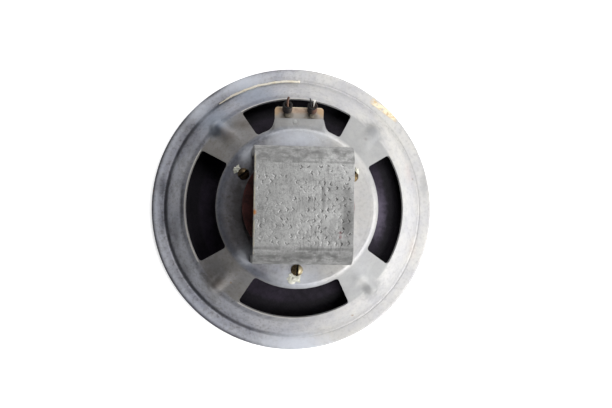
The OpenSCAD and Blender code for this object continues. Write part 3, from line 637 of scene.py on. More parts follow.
def extrudeFlat(mesh, height):        # raises the faces by height, as a closed solid
    made = bmesh.ops.extrude_face_region(mesh, geom=mesh.faces[:])["geom"]
    bmesh.ops.translate(mesh, verts=newVerts(made), vec=(0, 0, height * mm))
    bmesh.ops.recalc_face_normals(mesh, faces=mesh.faces[:])
    return mesh


def thicken(mesh, thick, facing=1):   # turns the sheet up or down, then gives it its thickness
    if sum(f.normal.z * f.calc_area() for f in mesh.faces) * facing < 0:
        bmesh.ops.reverse_faces(mesh, faces=mesh.faces[:])
    bmesh.ops.solidify(mesh, geom=mesh.faces[:], thickness=thick * mm)
    return mesh


def smoothRoute(points, count):       # an even curve through the points
    result = []
    spans = len(points) - 1
    for i in range(count + 1):
        where = spans * i / count
        k = min(int(where), spans - 1)
        t = where - k
        p0, p1 = Vector(points[max(k - 1, 0)]), Vector(points[k])
        p2, p3 = Vector(points[k + 1]), Vector(points[min(k + 2, spans)])
        result.append(0.5 * (2 * p1 + (p2 - p0) * t + (2 * p0 - 5 * p1 + 4 * p2 - p3) * t * t
                             + (3 * p1 - p0 - 3 * p2 + p3) * t ** 3))
    return result


def drawnStrip(path, start, width, columns, thick, facing=1):      # a YZ path drawn out along X
    mesh = bmesh.new()
    verts = [mesh.verts.new((start * mm, y * mm, z * mm)) for y, z in path]
    line = [mesh.edges.new(pair) for pair in zip(verts, verts[1:])]
    for _ in range(columns):
        made = bmesh.ops.extrude_edge_only(mesh, edges=line)["geom"]
        line = [g for g in made if isinstance(g, bmesh.types.BMEdge)]
        bmesh.ops.translate(mesh, verts=newVerts(made), vec=(width / columns * mm, 0, 0))
    return thicken(mesh, thick, facing)


def thinWall(points, thick, steps):   # points of the rear face, the wall grows to the front
    return thicken(spinLine(newLine(points), steps), thick, facing=-1)


def moveMesh(mesh, place=(0, 0, 0), turn=None):
    if turn is not None:
        bmesh.ops.rotate(mesh, verts=mesh.verts[:], cent=(0, 0, 0), matrix=turn)
    bmesh.ops.translate(mesh, verts=mesh.verts[:], vec=Vector(place) * mm)
    return mesh


def combine(meshes):
    whole = bmesh.new()
    for part in meshes:
        data = bpy.data.meshes.new("part")
        part.to_mesh(data)
        part.free()
        whole.from_mesh(data)
        bpy.data.meshes.remove(data)
    return whole


def meshData(name, mesh, material):
    data = bpy.data.meshes.new(name)
    mesh.to_mesh(data)
    mesh.free()
    data.materials.append(material)
    return data


# A piece of the visual model: key names its finish, node is the CAD node that it replaces
def makePiece(name, mesh, key, node=None, body="chassis", smooth=40):
    data = meshData(name, mesh, finish[key])
    data.shade_smooth()
    data.set_sharp_from_angle(angle=math.radians(smooth))
    piece = addObject(name, data)
    piece.modifiers.new("even shading", "WEIGHTED_NORMAL").keep_sharp = True
    if body:
        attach(piece, body)
    if node:
        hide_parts(node)
    return piece


def ringEdges(verts):                 # the edges that run between these points
    return [e for e in {e for v in verts for e in v.link_edges} if all(v in verts for v in e.verts)]


def tube(route, radii, sides=16):     # swept through points in millimetres, with a radius at each
    mesh = bmesh.new()
    points = [Vector(p) for p in route]
    side = (points[1] - points[0]).normalized().orthogonal().normalized()
    rings = []
    for i, (point, radius) in enumerate(zip(points, radii)):
        ahead = (points[min(i + 1, len(points) - 1)] - points[max(i - 1, 0)]).normalized()
        side = (side - ahead * side.dot(ahead)).normalized()
        turn = Matrix((side, ahead.cross(side), ahead)).transposed().to_4x4()
        made = bmesh.ops.create_circle(mesh, segments=sides, radius=radius * mm,
                                       matrix=Matrix.Translation(point * mm) @ turn)
        rings.append(made["verts"])
    for a, b in zip(rings, rings[1:]):
        bmesh.ops.bridge_loops(mesh, edges=ringEdges(a) + ringEdges(b))
    for end in (rings[0], rings[-1]):
        bmesh.ops.contextual_create(mesh, geom=ringEdges(end))
    bmesh.ops.recalc_face_normals(mesh, faces=mesh.faces[:])
    return mesh


def curvePoint(a, b, c, share):       # a point on the curve from a to c that both ends aim towards b
    return tuple(p * (1 - share) ** 2 + q * 2 * share * (1 - share) + r * share ** 2
                 for p, q, r in zip(a, b, c))


def softMin(a, b, width):
    near = max(width - abs(a - b), 0) / width
    return min(a, b) - near * near * width / 4


def step(value, low, high):
    share = min(max((value - low) / (high - low), 0), 1)
    return share * share * (3 - 2 * share)


# Basket: pressed sheet with a turned rim, four windows, four ribbed spokes and the terminal tab

basketSize = dict(
    rimR=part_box("basket")[1].x / mm, hubZ=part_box("basket")[1].z / mm, sheet=1.2,
    flangeZ=4.2, rimDrop=3.3, rimBend=1.5, footR=91.4, footRound=0.9, wallLean=5.3, wallRise=6.9,
    windowZ=19.0, wallEndR=76.5, windowOuterR=77.2, windowInnerR=56.1, windowHalf=30.5, windowCorner=2.2,
    shoulderR=55.0, kneeR=53.4, hubFlatR=52.2, hubStartR=51.6, holeR=20.0,
    ribR=10.0, ribRise=3.8, ribEndR=76.0, ribStartR=50.5, ribSoft=3.2, ribTaper=0.6, ribTaperRun=(60, 77),
    grooveR=92.35, grooveW=1.4, grooveDepth=0.28,
    screwHoles=(43.3, 3, 30, 2.7), studHoles=(29.0, 4, 45, 2.05), rivetHole=(-3.0, 58.2, 1.15),
    tabRootW=37.3, tabEndW=33.6, tabEnd=60.5, tabSoft=3.4, tabCorner=0.6, tabCrease=0.3,
    tabSide=30, tabReach=66, tabFade=(-1.5, 2.5), creaseR=53.8, creaseW=1.1, ribSoftRun=14,
    flangeRows=(98.6, 97.0, 95.0, 93.4), footRows=(-0.15, 0.15, 0.5, 1.0, 1.7, 2.6),
    windowReach=1.5, curveRows=40, rimRows=6, steps=360, wave=0.07, edgeRound=0.18)


def basketProfile(s):                 # rear face as dense points, from the foot of the wall to the axis
    slope = (s["hubZ"] - s["windowZ"]) / (s["wallEndR"] - s["kneeR"])
    shoulderZ = s["windowZ"] + (s["wallEndR"] - s["shoulderR"]) * slope
    foot = (s["footR"], s["flangeZ"])
    lean = (s["footR"] - s["wallLean"], s["flangeZ"] + s["wallRise"])
    edge = (s["wallEndR"], s["windowZ"])
    shoulder = (s["shoulderR"], shoulderZ)
    corner = (s["kneeR"], s["hubZ"])
    flat = (s["hubFlatR"], s["hubZ"])
    dense = spaced(0, 1, s["curveRows"])
    wall = [curvePoint(foot, lean, edge, t) for t in dense]
    start = (s["footR"] + s["footRound"], s["flangeZ"])
    rounded = [curvePoint(start, foot, wall[2], t) for t in spaced(0, 1, 8)[:-1]]
    knee = [curvePoint(shoulder, corner, flat, t) for t in dense]
    return rounded + wall[2:] + knee + [(0.0, s["hubZ"])], slope


def profileHeight(profile, radius):
    for (r1, z1), (r2, z2) in zip(profile, profile[1:]):
        if r2 <= radius <= r1:
            return z1 + (z2 - z1) * (r1 - radius) / max(r1 - r2, 1e-9)
    return profile[0][1]


def ribLine(s, slope):                # the rib's round back: its nose, its run to the hub and its normal
    high = Vector((s["ribEndR"], s["windowZ"] + (s["wallEndR"] - s["ribEndR"]) * slope))
    high += Vector((slope, 1)).normalized() * s["ribRise"]
    run = (Vector((s["ribStartR"], s["hubZ"])) - high).normalized()
    normal = Vector((run.y, -run.x))
    return high - normal * s["ribR"], run, normal


def ribHeight(s, line, radius, away): # height of a spoke's rib, away is the angle from its middle line
    nose, run, normal = line
    along, across = radius * math.cos(away), radius * math.sin(away)
    across *= 1 + s["ribTaper"] * step(along, *s["ribTaperRun"])
    if abs(across) >= s["ribR"]:
        return -1.0
    half = math.sqrt(s["ribR"] ** 2 - across ** 2)
    share = (along - nose.x - half * normal.x) / run.x
    if share > 0:
        return nose.y + share * run.y + half * normal.y
    inside = half ** 2 - (along - nose.x) ** 2
    return nose.y + math.sqrt(inside) if inside > 0 else -1.0


def roundedGap(q1, q2, corner):       # from the gaps to two edges, with a round corner between them
    q1, q2 = q1 + corner, q2 + corner
    return min(max(q1, q2), 0) + math.hypot(max(q1, 0), max(q2, 0)) - corner


def windowGap(s, x, y):               # below 0 inside a window, above 0 in the metal
    radius = math.hypot(x, y)
    angle = math.atan2(y, x)
    away = abs(angle - quarterTurn * round(angle / quarterTurn))
    return roundedGap(max(radius - s["windowOuterR"], s["windowInnerR"] - radius),
                      radius * math.sin(away - math.radians(s["windowHalf"])), s["windowCorner"])


def tabGap(s, x, y):                  # below 0 inside the tab
    root = math.sqrt(s["windowInnerR"] ** 2 - (s["tabRootW"] / 2) ** 2)
    share = max((y - root) / (s["tabEnd"] - root), 0)
    half = (s["tabRootW"] + (s["tabEndW"] - s["tabRootW"]) * share) / 2
    return roundedGap(abs(x) - half, y - s["tabEnd"], s["tabCorner"])


def openGap(s, x, y):
    window = windowGap(s, x, y)
    if y < s["tabSide"] or abs(x) > s["tabSide"]:
        return window
    return -softMin(-window, tabGap(s, x, y), s["tabSoft"])


def smallHoles(s):
    holes = [s["rivetHole"]]
    for circle, count, first, radius in (s["screwHoles"], s["studHoles"]):
        for i in range(count):
            holes.append(polar(circle, first + 360 * i / count, radius))
    return holes


def basketRadii(s):                   # rings of the mesh, close where the sheet bends
    fixed = [s["grooveR"] + s["grooveW"] / 2, s["grooveR"], s["grooveR"] - s["grooveW"] / 2]
    radii = list(s["flangeRows"]) + fixed + [s["footR"] - d for d in s["footRows"]]
    for end, count in (("windowOuterR", 11), ("windowInnerR", 19), ("hubStartR", 9), ("holeR", 36)):
        radii += spaced(radii[-1], s[end], count)[1:]
    return radii


def basketHeight(s, profile, line, x, y):
    radius = math.hypot(x, y)
    height = profileHeight(profile, radius)
    if y > s["tabSide"] and radius < s["tabReach"]:
        strip = 1 - step(abs(x) - s["tabRootW"] / 2, *s["tabFade"])
        crease = s["tabCrease"] * math.exp(-((radius - s["creaseR"]) / s["creaseW"]) ** 2)
        height += (s["hubZ"] - crease - height) * strip
    angle = math.atan2(y, x)
    away = angle - quarterTurn * (math.floor(angle / quarterTurn) + 0.5)
    rib = min(ribHeight(s, line, radius, away), s["hubZ"])
    soft = s["ribSoft"] * (0.4 + 0.6 * step(radius, s["ribStartR"], s["ribStartR"] + s["ribSoftRun"]))
    height = min(-softMin(-height, -rib, soft), s["hubZ"])
    dent = noiseAt(x * 0.05, y * 0.05, 0.155) + 0.5 * noiseAt(x * 0.13, y * 0.13, 1.261)
    return height + s["wave"] * dent


def buildBasket(s):
    profile, slope = basketProfile(s)
    line = ribLine(s, slope)
    bend = s["rimBend"]
    centre = (s["rimR"] - bend, s["flangeZ"] - bend)
    rim = [(s["rimR"], s["flangeZ"] - s["rimDrop"]), (s["rimR"], s["flangeZ"] - s["rimDrop"] / 2)]
    rim += [(centre[0] + bend * math.cos(a), centre[1] + bend * math.sin(a))
            for a in spaced(0, quarterTurn, s["rimRows"])]
    points = rim + [(r, profileHeight(profile, r)) for r in basketRadii(s)]
    mesh = newLine(points)
    halfStep = math.pi / s["steps"]
    bmesh.ops.rotate(mesh, verts=mesh.verts[:], cent=(0, 0, 0), matrix=Matrix.Rotation(halfStep, 3, "Z"))
    spinLine(mesh, s["steps"])
    holes = smallHoles(s)
    gap = lambda x, y: min([openGap(s, x, y)] + [math.hypot(x - a, y - b) - r for a, b, r in holes])
    gone = [f for f in mesh.faces if gap(f.calc_center_median().x / mm, f.calc_center_median().y / mm) < 0]
    bmesh.ops.delete(mesh, geom=gone, context="FACES")
    reach = 0.01                      # the cut edges move onto the true outline along its slope
    for vert in [v for v in mesh.verts if v.is_boundary]:
        x, y = vert.co.x / mm, vert.co.y / mm
        if abs(gap(x, y)) > s["windowReach"]:
            continue
        for _ in range(4):
            off = gap(x, y)
            gx = (gap(x + reach, y) - gap(x - reach, y)) / (2 * reach)
            gy = (gap(x, y + reach) - gap(x, y - reach)) / (2 * reach)
            size = max(gx * gx + gy * gy, 0.2)
            x, y = x - off * gx / size, y - off * gy / size
        vert.co.x, vert.co.y = x * mm, y * mm
    for vert in mesh.verts:
        x, y = vert.co.x / mm, vert.co.y / mm
        if math.hypot(x, y) < s["footR"] + s["footRound"] + 0.05:
            vert.co.z = basketHeight(s, profile, line, x, y) * mm
    bmesh.ops.recalc_face_normals(mesh, faces=mesh.faces[:])
    thicken(mesh, s["sheet"])
    rear = s["flangeZ"] - 0.15
    for vert in mesh.verts:
        radius = math.hypot(vert.co.x, vert.co.y) / mm
        if abs(radius - s["grooveR"]) < s["grooveW"] / 4 and vert.co.z / mm > rear:
            vert.co.z -= s["grooveDepth"] * mm
    bevelEdges(mesh, s["edgeRound"], above=55)
    return mesh


makePiece("basket_sheet", buildBasket(basketSize), "zinc", "basket", smooth=35)
print("basket done")


# Yoke: strap bent twice, with sheared edges and the marks of a punch

yokeSize = dict(low=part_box("yoke")[0], high=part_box("yoke")[1], thick=5.3, bend=11.0, columns=190,
                topRows=160, bendRows=12, armRows=10, edgeRound=0.45, wobble=0.12, wornEdge=0.8, dip=0.1,
                markPitch=(4.5, 3.5), markSize=1.08, markDepth=0.95, markWidth=0.29, markRows=8,
                markField=(31, -27, 25), markReach=3, sideInset=(0.85, 0.1), seed=11)


def yokePath(s):                      # outer face in the YZ plane, from one foot to the other
    half, bottom, top = s["high"].y / mm, s["low"].z / mm, s["high"].z / mm
    bend = s["bend"]
    side = [(-half, z) for z in spaced(bottom, top - bend, s["armRows"])[:-1]]
    corner = [(bend - half - bend * math.cos(a), top - bend + bend * math.sin(a))
              for a in spaced(0, quarterTurn, s["bendRows"])[:-1]]
    flat = [(y, top) for y in spaced(bend - half, half - bend, s["topRows"])]
    return side + corner + flat + [(-y, z) for y, z in reversed(side + corner)]


def punchMarks(s):                    # rows of small chevrons, denser to the right and below
    picker = random.Random(s["seed"])
    marks = []
    pitchX, pitchY = s["markPitch"]
    half, lowest, highest = s["markField"]
    span = range(-s["markRows"], s["markRows"] + 1)
    for row in span:
        for column in span:
            x = column * pitchX + (row % 2) * pitchX / 2 + picker.uniform(-0.7, 0.7)
            y = row * pitchY + picker.uniform(-0.6, 0.6)
            chance = 0.62 + 0.15 * (x / 33) - 0.30 * (y / 28)
            size = s["markSize"] * picker.uniform(0.7, 1.2)
            turn = picker.choice((0, 0, 0, 0, math.pi, -math.pi / 2)) + picker.uniform(-0.3, 0.3)
            depth = s["markDepth"] * picker.uniform(0.3, 1.0) * (0.85 + 0.35 * x / 33)
            arms = picker.choice((0, 0, 0, 1, -1))
            if picker.random() < chance and abs(x) < half and lowest < y < highest:
                marks.append((x, y, size, turn, depth, arms))
    return marks


def markDepthAt(s, mark, x, y):       # a chevron is two short strokes that meet at its tip
    mx, my, size, turn, depth, arms = mark
    dx, dy = x - mx, y - my
    if abs(dx) > 2.2 * size or abs(dy) > 2.2 * size:
        return 0
    u = dx * math.cos(turn) + dy * math.sin(turn)
    v = -dx * math.sin(turn) + dy * math.cos(turn)
    if v * arms < 0:
        depth *= 1 - step(abs(v), 0.0, s["markWidth"])
    v = abs(v)
    share = min(max((size - u + v) / (2 * size), 0), 1)
    away = math.hypot(u - size * (1 - share), v - size * share)
    return depth * (1 - step(away, 0.0, s["markWidth"] * 1.6))


def buildYoke(s):
    width = (s["high"].x - s["low"].x) / mm
    top = s["high"].z / mm
    mesh = drawnStrip(yokePath(s), s["low"].x / mm, width, s["columns"], s["thick"])
    bevelEdges(mesh, s["edgeRound"], segments=3, above=55)
    marks = punchMarks(s)
    leftInset, rightInset = s["sideInset"]
    for vert in mesh.verts:
        share = (vert.co.x / mm + width / 2) / width
        vert.co.x += (leftInset * (1 - share) - rightInset * share) * mm
        x, y, z = vert.co / mm
        if z > top - 0.02:
            near = [m for m in marks if max(abs(m[0] - x), abs(m[1] - y)) < s["markReach"]]
            vert.co.z -= sum(markDepthAt(s, m, x, y) for m in near) * mm
        wear = noiseAt(x * 0.4, y * 0.35, z * 0.35)
        if x > width / 2 - s["wornEdge"] - rightInset or x < s["wornEdge"] + leftInset - width / 2:
            vert.co.x -= math.copysign(s["wobble"] * (0.5 + 0.5 * wear) * mm, x)
        vert.co.z -= max(noiseAt(x * 0.09, y * 0.09, 0.45), 0) * s["dip"] * mm * (z > top - 0.6)
    return mesh


makePiece("yoke_strap", buildYoke(yokeSize), "yoke", "yoke", smooth=50)
print("yoke done")


# Flat pieces cut from sheet or board: outline, holes, thickness

def flatPlate(outline, holes, low, high, steps=28):      # outline and holes in millimetres
    mesh = bmesh.new()
    corners = [mesh.verts.new((x * mm, y * mm, low * mm)) for x, y in outline]
    edges = [mesh.edges.new((a, b)) for a, b in zip(corners, corners[1:] + corners[:1])]
    for x, y, radius in holes:
        made = bmesh.ops.create_circle(mesh, segments=steps, radius=radius * mm,
                                       matrix=Matrix.Translation((x * mm, y * mm, low * mm)))
        edges += {e for v in made["verts"] for e in v.link_edges}
    bmesh.ops.triangle_fill(mesh, use_beauty=True, use_dissolve=False, edges=edges, normal=(0, 0, 1))
    return extrudeFlat(mesh, high - low)


def roundedOutline(corners, radius, steps=8):            # corners given as (x, y, rounded or not)
    points = []
    for i, (x, y, rounded) in enumerate(corners):
        if not rounded:
            points.append((x, y))
            continue
        before, after = Vector(corners[i - 1][:2]), Vector(corners[(i + 1) % len(corners)][:2])
        here = Vector((x, y))
        a = here + (before - here).normalized() * radius
        b = here + (after - here).normalized() * radius
        centre = a + b - here
        for turn in spaced(0, quarterTurn, steps):
            point = centre - (b - here) * math.cos(turn) - (a - here) * math.sin(turn)
            points.append((point.x, point.y))
    return points


plateSize = dict(radius=38.3, flat=33.4, hole=14.3, low=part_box("top_plate")[0].z / mm,
                 high=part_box("top_plate")[1].z / mm, edgeRound=0.4, steps=48)


def buildPlate(s):
    start = math.asin(s["flat"] / s["radius"])
    turns = spaced(-start, start, s["steps"])
    right = [(s["radius"] * math.cos(a), s["radius"] * math.sin(a)) for a in turns]
    outline = right + [(-x, -y) for x, y in right]
    mesh = flatPlate(outline, [(0, 0, s["hole"])], s["low"], s["high"], steps=72)
    return bevelEdges(mesh, s["edgeRound"], above=60)


boardSize = dict(half=16.8, inner=56.0, outer=68.4, corner=2.0, low=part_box("terminal_board")[0].z / mm,
                 high=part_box("terminal_board")[1].z / mm, rivet=(-3.0, 58.2, 1.15), lugs=(8.5, 62.9, 1.05),
                 edgeRound=0.22)


def buildBoard(s):
    x, y, radius = s["lugs"]
    outline = roundedOutline([(-s["half"], s["inner"], False), (s["half"], s["inner"], False),
                              (s["half"], s["outer"], True), (-s["half"], s["outer"], True)], s["corner"])
    mesh = flatPlate(outline, [s["rivet"], (x, y, radius), (-x, y, radius)], s["low"], s["high"])
    return bevelEdges(mesh, s["edgeRound"], above=60)


makePiece("top_plate_painted", buildPlate(plateSize), "primer", "top_plate")
makePiece("terminal_board_resin", buildBoard(boardSize), "board", "terminal_board")


# Turned pieces round the axis

def edgedProfile(points, chamfer):    # cuts the corners of a closed or axis-to-axis profile
    result = []
    for i, point in enumerate(points):
        here = Vector(point)
        before, after = Vector(points[i - 1]), Vector(points[(i + 1) % len(points)])
        if here.x < 1e-6:
            result.append(point)
            continue
        for other in (before, after):
            away = other - here
            result.append(tuple(here + away.normalized() * min(chamfer, away.length * 0.3)))
    return result


def roughen(mesh, depth, scale, only):                   # uneven surface, along the normals
    mesh.normal_update()
    for vert in mesh.verts:
        if only(vert.co / mm):
            vert.co += vert.normal * noise.noise(vert.co / mm * scale) * depth * mm
    return mesh


magnetSize = dict(radius=19.0, low=55.0, high=70.7, rows=14, steps=96, chamfer=0.7, rough=0.12)
poleSize = dict(radius=12.5, foot=19.0, low=36.5, top=51.0, high=55.0, chamfer=0.5, steps=96)
ringSize = dict(radius=19.0, inner=16.5, bore=12.55, low=44.0, floor=48.5, high=51.0, chamfer=0.3)
gasketSize = dict(outer=99.3, inner=90.5, thick=2.6, rows=5, steps=288, chamfer=0.35, rough=0.06)


def buildMagnet(s):
    side = [(s["radius"], z) for z in spaced(s["low"] + s["chamfer"], s["high"] - s["chamfer"], s["rows"])]
    inset = s["radius"] - s["chamfer"]
    points = [(0, s["low"]), (inset * 0.5, s["low"]), (inset, s["low"])] + side
    points += [(inset, s["high"]), (inset * 0.5, s["high"]), (0, s["high"])]
    mesh = turned(points, s["steps"], closed=False)
    band = lambda p: s["low"] + 0.9 < p.z < s["high"] - 0.9 and math.hypot(p.x, p.y) > s["radius"] - 0.2
    return roughen(mesh, s["rough"], 0.35, band)


def buildPole(s):
    points = [(0, s["low"]), (s["radius"], s["low"]), (s["radius"], s["top"]), (s["foot"], s["top"]),
              (s["foot"], s["high"]), (0, s["high"])]
    return turned(edgedProfile(points, s["chamfer"]), s["steps"], closed=False)


def buildGapRing(s):
    points = [(s["inner"], s["low"]), (s["radius"], s["low"]), (s["radius"], s["high"]),
              (s["bore"], s["high"]), (s["bore"], s["floor"]), (s["inner"], s["floor"])]
    return turned(edgedProfile(points, s["chamfer"]), 96)


def buildGasket(s):
    rows = spaced(0, s["thick"], s["rows"])[1:-1]
    outer = [(s["outer"], z) for z in rows]
    inner = [(s["inner"], z) for z in reversed(rows)]
    c = s["chamfer"]
    points = [(s["inner"] + c, 0), (s["outer"] - c, 0)] + outer + [(s["outer"] - c, s["thick"]),
              (s["inner"] + c, s["thick"])] + inner
    mesh = turned(points, s["steps"])
    return roughen(mesh, s["rough"], 0.5, lambda p: 0.3 < p.z < s["thick"] - 0.3)


makePiece("magnet_slug", buildMagnet(magnetSize), "magnet", "magnet")
makePiece("pole_turned", buildPole(poleSize), "pole", "pole_piece")
makePiece("gap_ring_turned", buildGapRing(ringSize), "brass", "gap_ring")
makePiece("gasket_ring", buildGasket(gasketSize), "gasket", "front_gasket", smooth=50)
print("magnet and gasket done")


# Clamp screws: domed heads with a slot each, sealed with dabs of lacquer

def buildScrew(s, slotAngle):
    dome = [(r, s["hub"] + z) for r, z in domeLine(s["headR"], s["headH"], s["rings"])]
    points = [(0, s["low"]), (s["shankR"], s["low"]), (s["shankR"], s["hub"])] + dome
    mesh = turned(points, s["steps"], closed=False)
    side, floor = s["slotW"] / 2 * mm, (s["hub"] + s["headH"] - s["slotDepth"]) * mm
    cuts = (((0, side, 0), (0, 1, 0)), ((0, -side, 0), (0, 1, 0)), ((0, 0, floor), (0, 0, 1)))
    for place, normal in cuts:
        bmesh.ops.bisect_plane(mesh, geom=mesh.verts[:] + mesh.edges[:] + mesh.faces[:], dist=1e-7,
                               plane_co=place, plane_no=normal)
    tiny = 1e-6
    gone = [f for f in mesh.faces if abs(f.calc_center_median().y) < side - tiny
            and f.calc_center_median().z > floor + tiny]
    bmesh.ops.delete(mesh, geom=gone, context="FACES")
    rims = [e for e in mesh.edges if e.is_boundary]
    ends = {(v.co.x > 0, v.co.y > 0): v for e in rims for v in e.verts
            if abs(abs(v.co.y) - side) < tiny and abs(v.co.z - floor) < tiny}
    lines = [mesh.edges.new((ends[False, y], ends[True, y])) for y in (False, True)]
    onLine = lambda axis, place: [e for e in rims if all(abs(v.co[axis] - place) < tiny for v in e.verts)]
    for loop in (onLine(1, -side) + lines[:1], onLine(1, side) + lines[1:], onLine(2, floor) + lines):
        bmesh.ops.edgeloop_fill(mesh, edges=loop)
    bmesh.ops.recalc_face_normals(mesh, faces=mesh.faces[:])
    bevelEdges(mesh, s["edgeRound"], above=40, only=lambda e: min(v.co.z for v in e.verts) > s["hub"] * mm)
    return moveMesh(mesh, turn=Matrix.Rotation(math.radians(slotAngle), 3, "Z"))


screws = [moveMesh(buildScrew(screwSize, slot), polar(screwSize["circle"], angle))
          for angle, slot in zip(screwSize["angles"], screwSize["slots"])]
makePiece("screws_slotted", combine(screws), "screw", "clamp_screws", smooth=45)

# Place, length, width, height and turn of each dab
dabSizes = dict(bottom=(-1.2, -48.6, 4.6, 3.4, 0.5, 8), left=(-42.2, 24.8, 2.6, 2.0, 0.6, 50),
                right=(40.4, 25.4, 2.0, 1.2, 1.0, 105))


def buildDab(x, y, length, width, height, turn, seed):
    mesh = bmesh.new()
    bmesh.ops.create_icosphere(mesh, subdivisions=4, radius=1.0)
    for vert in mesh.verts:
        coarse = noise.noise(vert.co * 1.6 + Vector((seed, 0, 0)))
        ragged = 1 + 0.6 * coarse + 0.25 * noise.noise(vert.co * 4)
        along, across, up = vert.co
        vert.co = Vector((along * length, across * width, max(up, -0.3) * height)) * ragged * mm
    return moveMesh(mesh, (x, y, screwSize["hub"]), Matrix.Rotation(math.radians(turn), 3, "Z"))


for seed, (name, size) in enumerate(dabSizes.items()):
    makePiece("lacquer_dab_" + name, buildDab(*size, seed * 5.0), "lacquer", smooth=80)
print("screws done")


# Old glue along the foot of the wall, upper left

glueSize = dict(radius=91.9, start=126.5, end=88.0, high=4.35, thick=0.95, sway=0.45, count=110, seed=2.0)


def buildGlue(s):
    route, radii = [], []
    for share in spaced(0, 1, s["count"]):
        radius = s["radius"] + s["sway"] * noiseAt(share * 9, s["seed"], 0)
        route.append(polar(radius, s["start"] + (s["end"] - s["start"]) * share, s["high"]))
        radii.append(s["thick"] * min(1, 0.35 + share * 3) * (1 + 0.35 * noiseAt(share * 40, 0, 5)))
    return tube(route, radii, sides=10)


makePiece("glue_strip", buildGlue(glueSize), "glue", smooth=80)


# Terminals: rivets, lugs, sleeves and the ends of wire left on them

def rivet(radius, low, grip, head=0.7, wide=1.8):        # two domed heads
    edge = radius * wide
    cap = [(radius, 0), (edge, 0), (edge, 0.12), (edge * 0.93, head * 0.5), (edge * 0.7, head * 0.88),
           (edge * 0.35, head), (0, head)]
    lower = [(r, low - z) for r, z in reversed(cap)]
    return turned(lower + [(r, low + grip + z) for r, z in cap], 32, closed=False)


rivetSize = dict(boardR=1.1, boardPlace=(-3.0, 58.2, 0), boardGrip=2.7, boardHead=0.35, boardWide=1.45,
                 lugR=1.0, lugY=62.9, lugGrip=2.0, pitch=8.5, low=35.3)
lugSize = dict(pitch=8.5, heel=61.3, bend=65.1, base=36.8, lean=28, rise=5.8, width=3.6, thick=0.5,
               bendR=0.5, bendRows=6, edgeRound=0.1)
sleeveSize = dict(radius=3.4, wall=1.5, length=5.6, start=2.0, rings=12, steps=48, uneven=0.28,
                  ragged=0.35, edgeRound=0.3)


def lugPoint(s, reach):               # Y and Z on the standing part, at this way from its bend
    lean = math.radians(s["lean"])
    return s["bend"] + reach * math.sin(lean), s["base"] + reach * math.cos(lean)


def buildLug(s, side):
    near, far = (s["bend"] - s["bendR"], s["base"]), lugPoint(s, s["bendR"])
    bent = [curvePoint(near, lugPoint(s, 0), far, t) for t in spaced(0, 1, s["bendRows"])]
    path = [(s["heel"], s["base"])] + bent + [lugPoint(s, s["rise"])]
    mesh = drawnStrip(path, side * s["pitch"] - s["width"] / 2, s["width"], 1, s["thick"], facing=-1)
    return bevelEdges(mesh, s["edgeRound"], above=60)


def buildSleeve(s, side, seed):       # a short end of soft tube over the standing part of a lug
    inner = s["radius"] - s["wall"]
    heights = spaced(0, s["length"], s["rings"])
    points = [(s["radius"], z) for z in heights] + [(inner, z) for z in reversed(heights)]
    mesh = turned(points, s["steps"])
    bevelEdges(mesh, s["edgeRound"], segments=3, above=60)
    for vert in mesh.verts:
        x, y, z = vert.co / mm
        sag = s["uneven"] * noiseAt(x * 0.3 + seed, y * 0.3, z * 0.35)
        vert.co += Vector((x, y, 0)).normalized() * sag * mm
        height = z / s["length"] - 0.5
        if abs(height) > 0.2:
            vert.co.z += math.copysign(s["ragged"] * mm, height) * noiseAt(x * 0.5, y * 0.5, seed)
    place = (side * lugSize["pitch"], lugSize["bend"], lugSize["base"])
    moveMesh(mesh, (0, 0.25, s["start"]))
    return moveMesh(mesh, place, Matrix.Rotation(-math.radians(lugSize["lean"]), 3, "X"))


boardRivet = rivet(*(rivetSize[key] for key in ("boardR", "low", "boardGrip", "boardHead", "boardWide")))
makePiece("board_rivet_domed", moveMesh(boardRivet, rivetSize["boardPlace"]), "rivet",
          "board_rivet")
lugRivets = [moveMesh(rivet(rivetSize["lugR"], rivetSize["low"], rivetSize["lugGrip"]),
                      (side * rivetSize["pitch"], rivetSize["lugY"], 0)) for side in (-1, 1)]
makePiece("lug_rivets_domed", combine(lugRivets), "lugRivet", "lug_rivets")
for side, name in ((-1, "left"), (1, "right")):
    makePiece("lug_strip_" + name, buildLug(lugSize, side), "lugRivet", "lug_" + name)
    makePiece("sleeve_tube_" + name, buildSleeve(sleeveSize, side, side * 4.0), "sleeve",
              "sleeve_" + name, smooth=60)

# Each end of wire: side of its lug, root beside the lug's tip, run, bow of its middle, radii up to its tip
stubSizes = dict(copper=(-1, (0, 0, 0), (0.5, 6.2, 3.0), (-0.5, 0.4, 0.5), (0.85, 0.85, 0.84, 0.8, 0.74)),
                 tinned=(1, (0.5, 0, -0.5), (0.3, 4.6, 3.0), (0.1, 0.0, 0.2), (0.34, 0.45, 0.65, 0.9, 1.0)),
                 black=(1, (-1.1, 0, 0), (-1.2, 5.4, 4.0), (0.3, 0.3, -0.2), (0.5, 0.5, 0.48, 0.44, 0.36)))


def buildStub(side, root, run, bow, radii, above=0.9, count=16, edgeRound=0.18):
    y, z = lugPoint(lugSize, lugSize["rise"])
    start = Vector((side * lugSize["pitch"], y, z + above)) + Vector(root)
    route, sizes = [], []
    for t in spaced(0, 1, count):
        route.append(start + Vector(run) * t + Vector(bow) * 4 * t * (1 - t))
        k = min(int(t * (len(radii) - 1)), len(radii) - 2)
        share = t * (len(radii) - 1) - k
        sizes.append(radii[k] + (radii[k + 1] - radii[k]) * share)
    return bevelEdges(tube(route, sizes), edgeRound, segments=3, above=60)


for name, key, slot in (("copper", "copper", "copper"), ("tinned", "blade", "tinned_brass"),
                        ("black", "cover", "wire_cover")):
    makePiece(name + "_end", buildStub(*stubSizes[name]), key, name + "_stub", smooth=60)
print("terminals done")


# Cone, its edge, spider and dust cap: thin walls turned round the axis

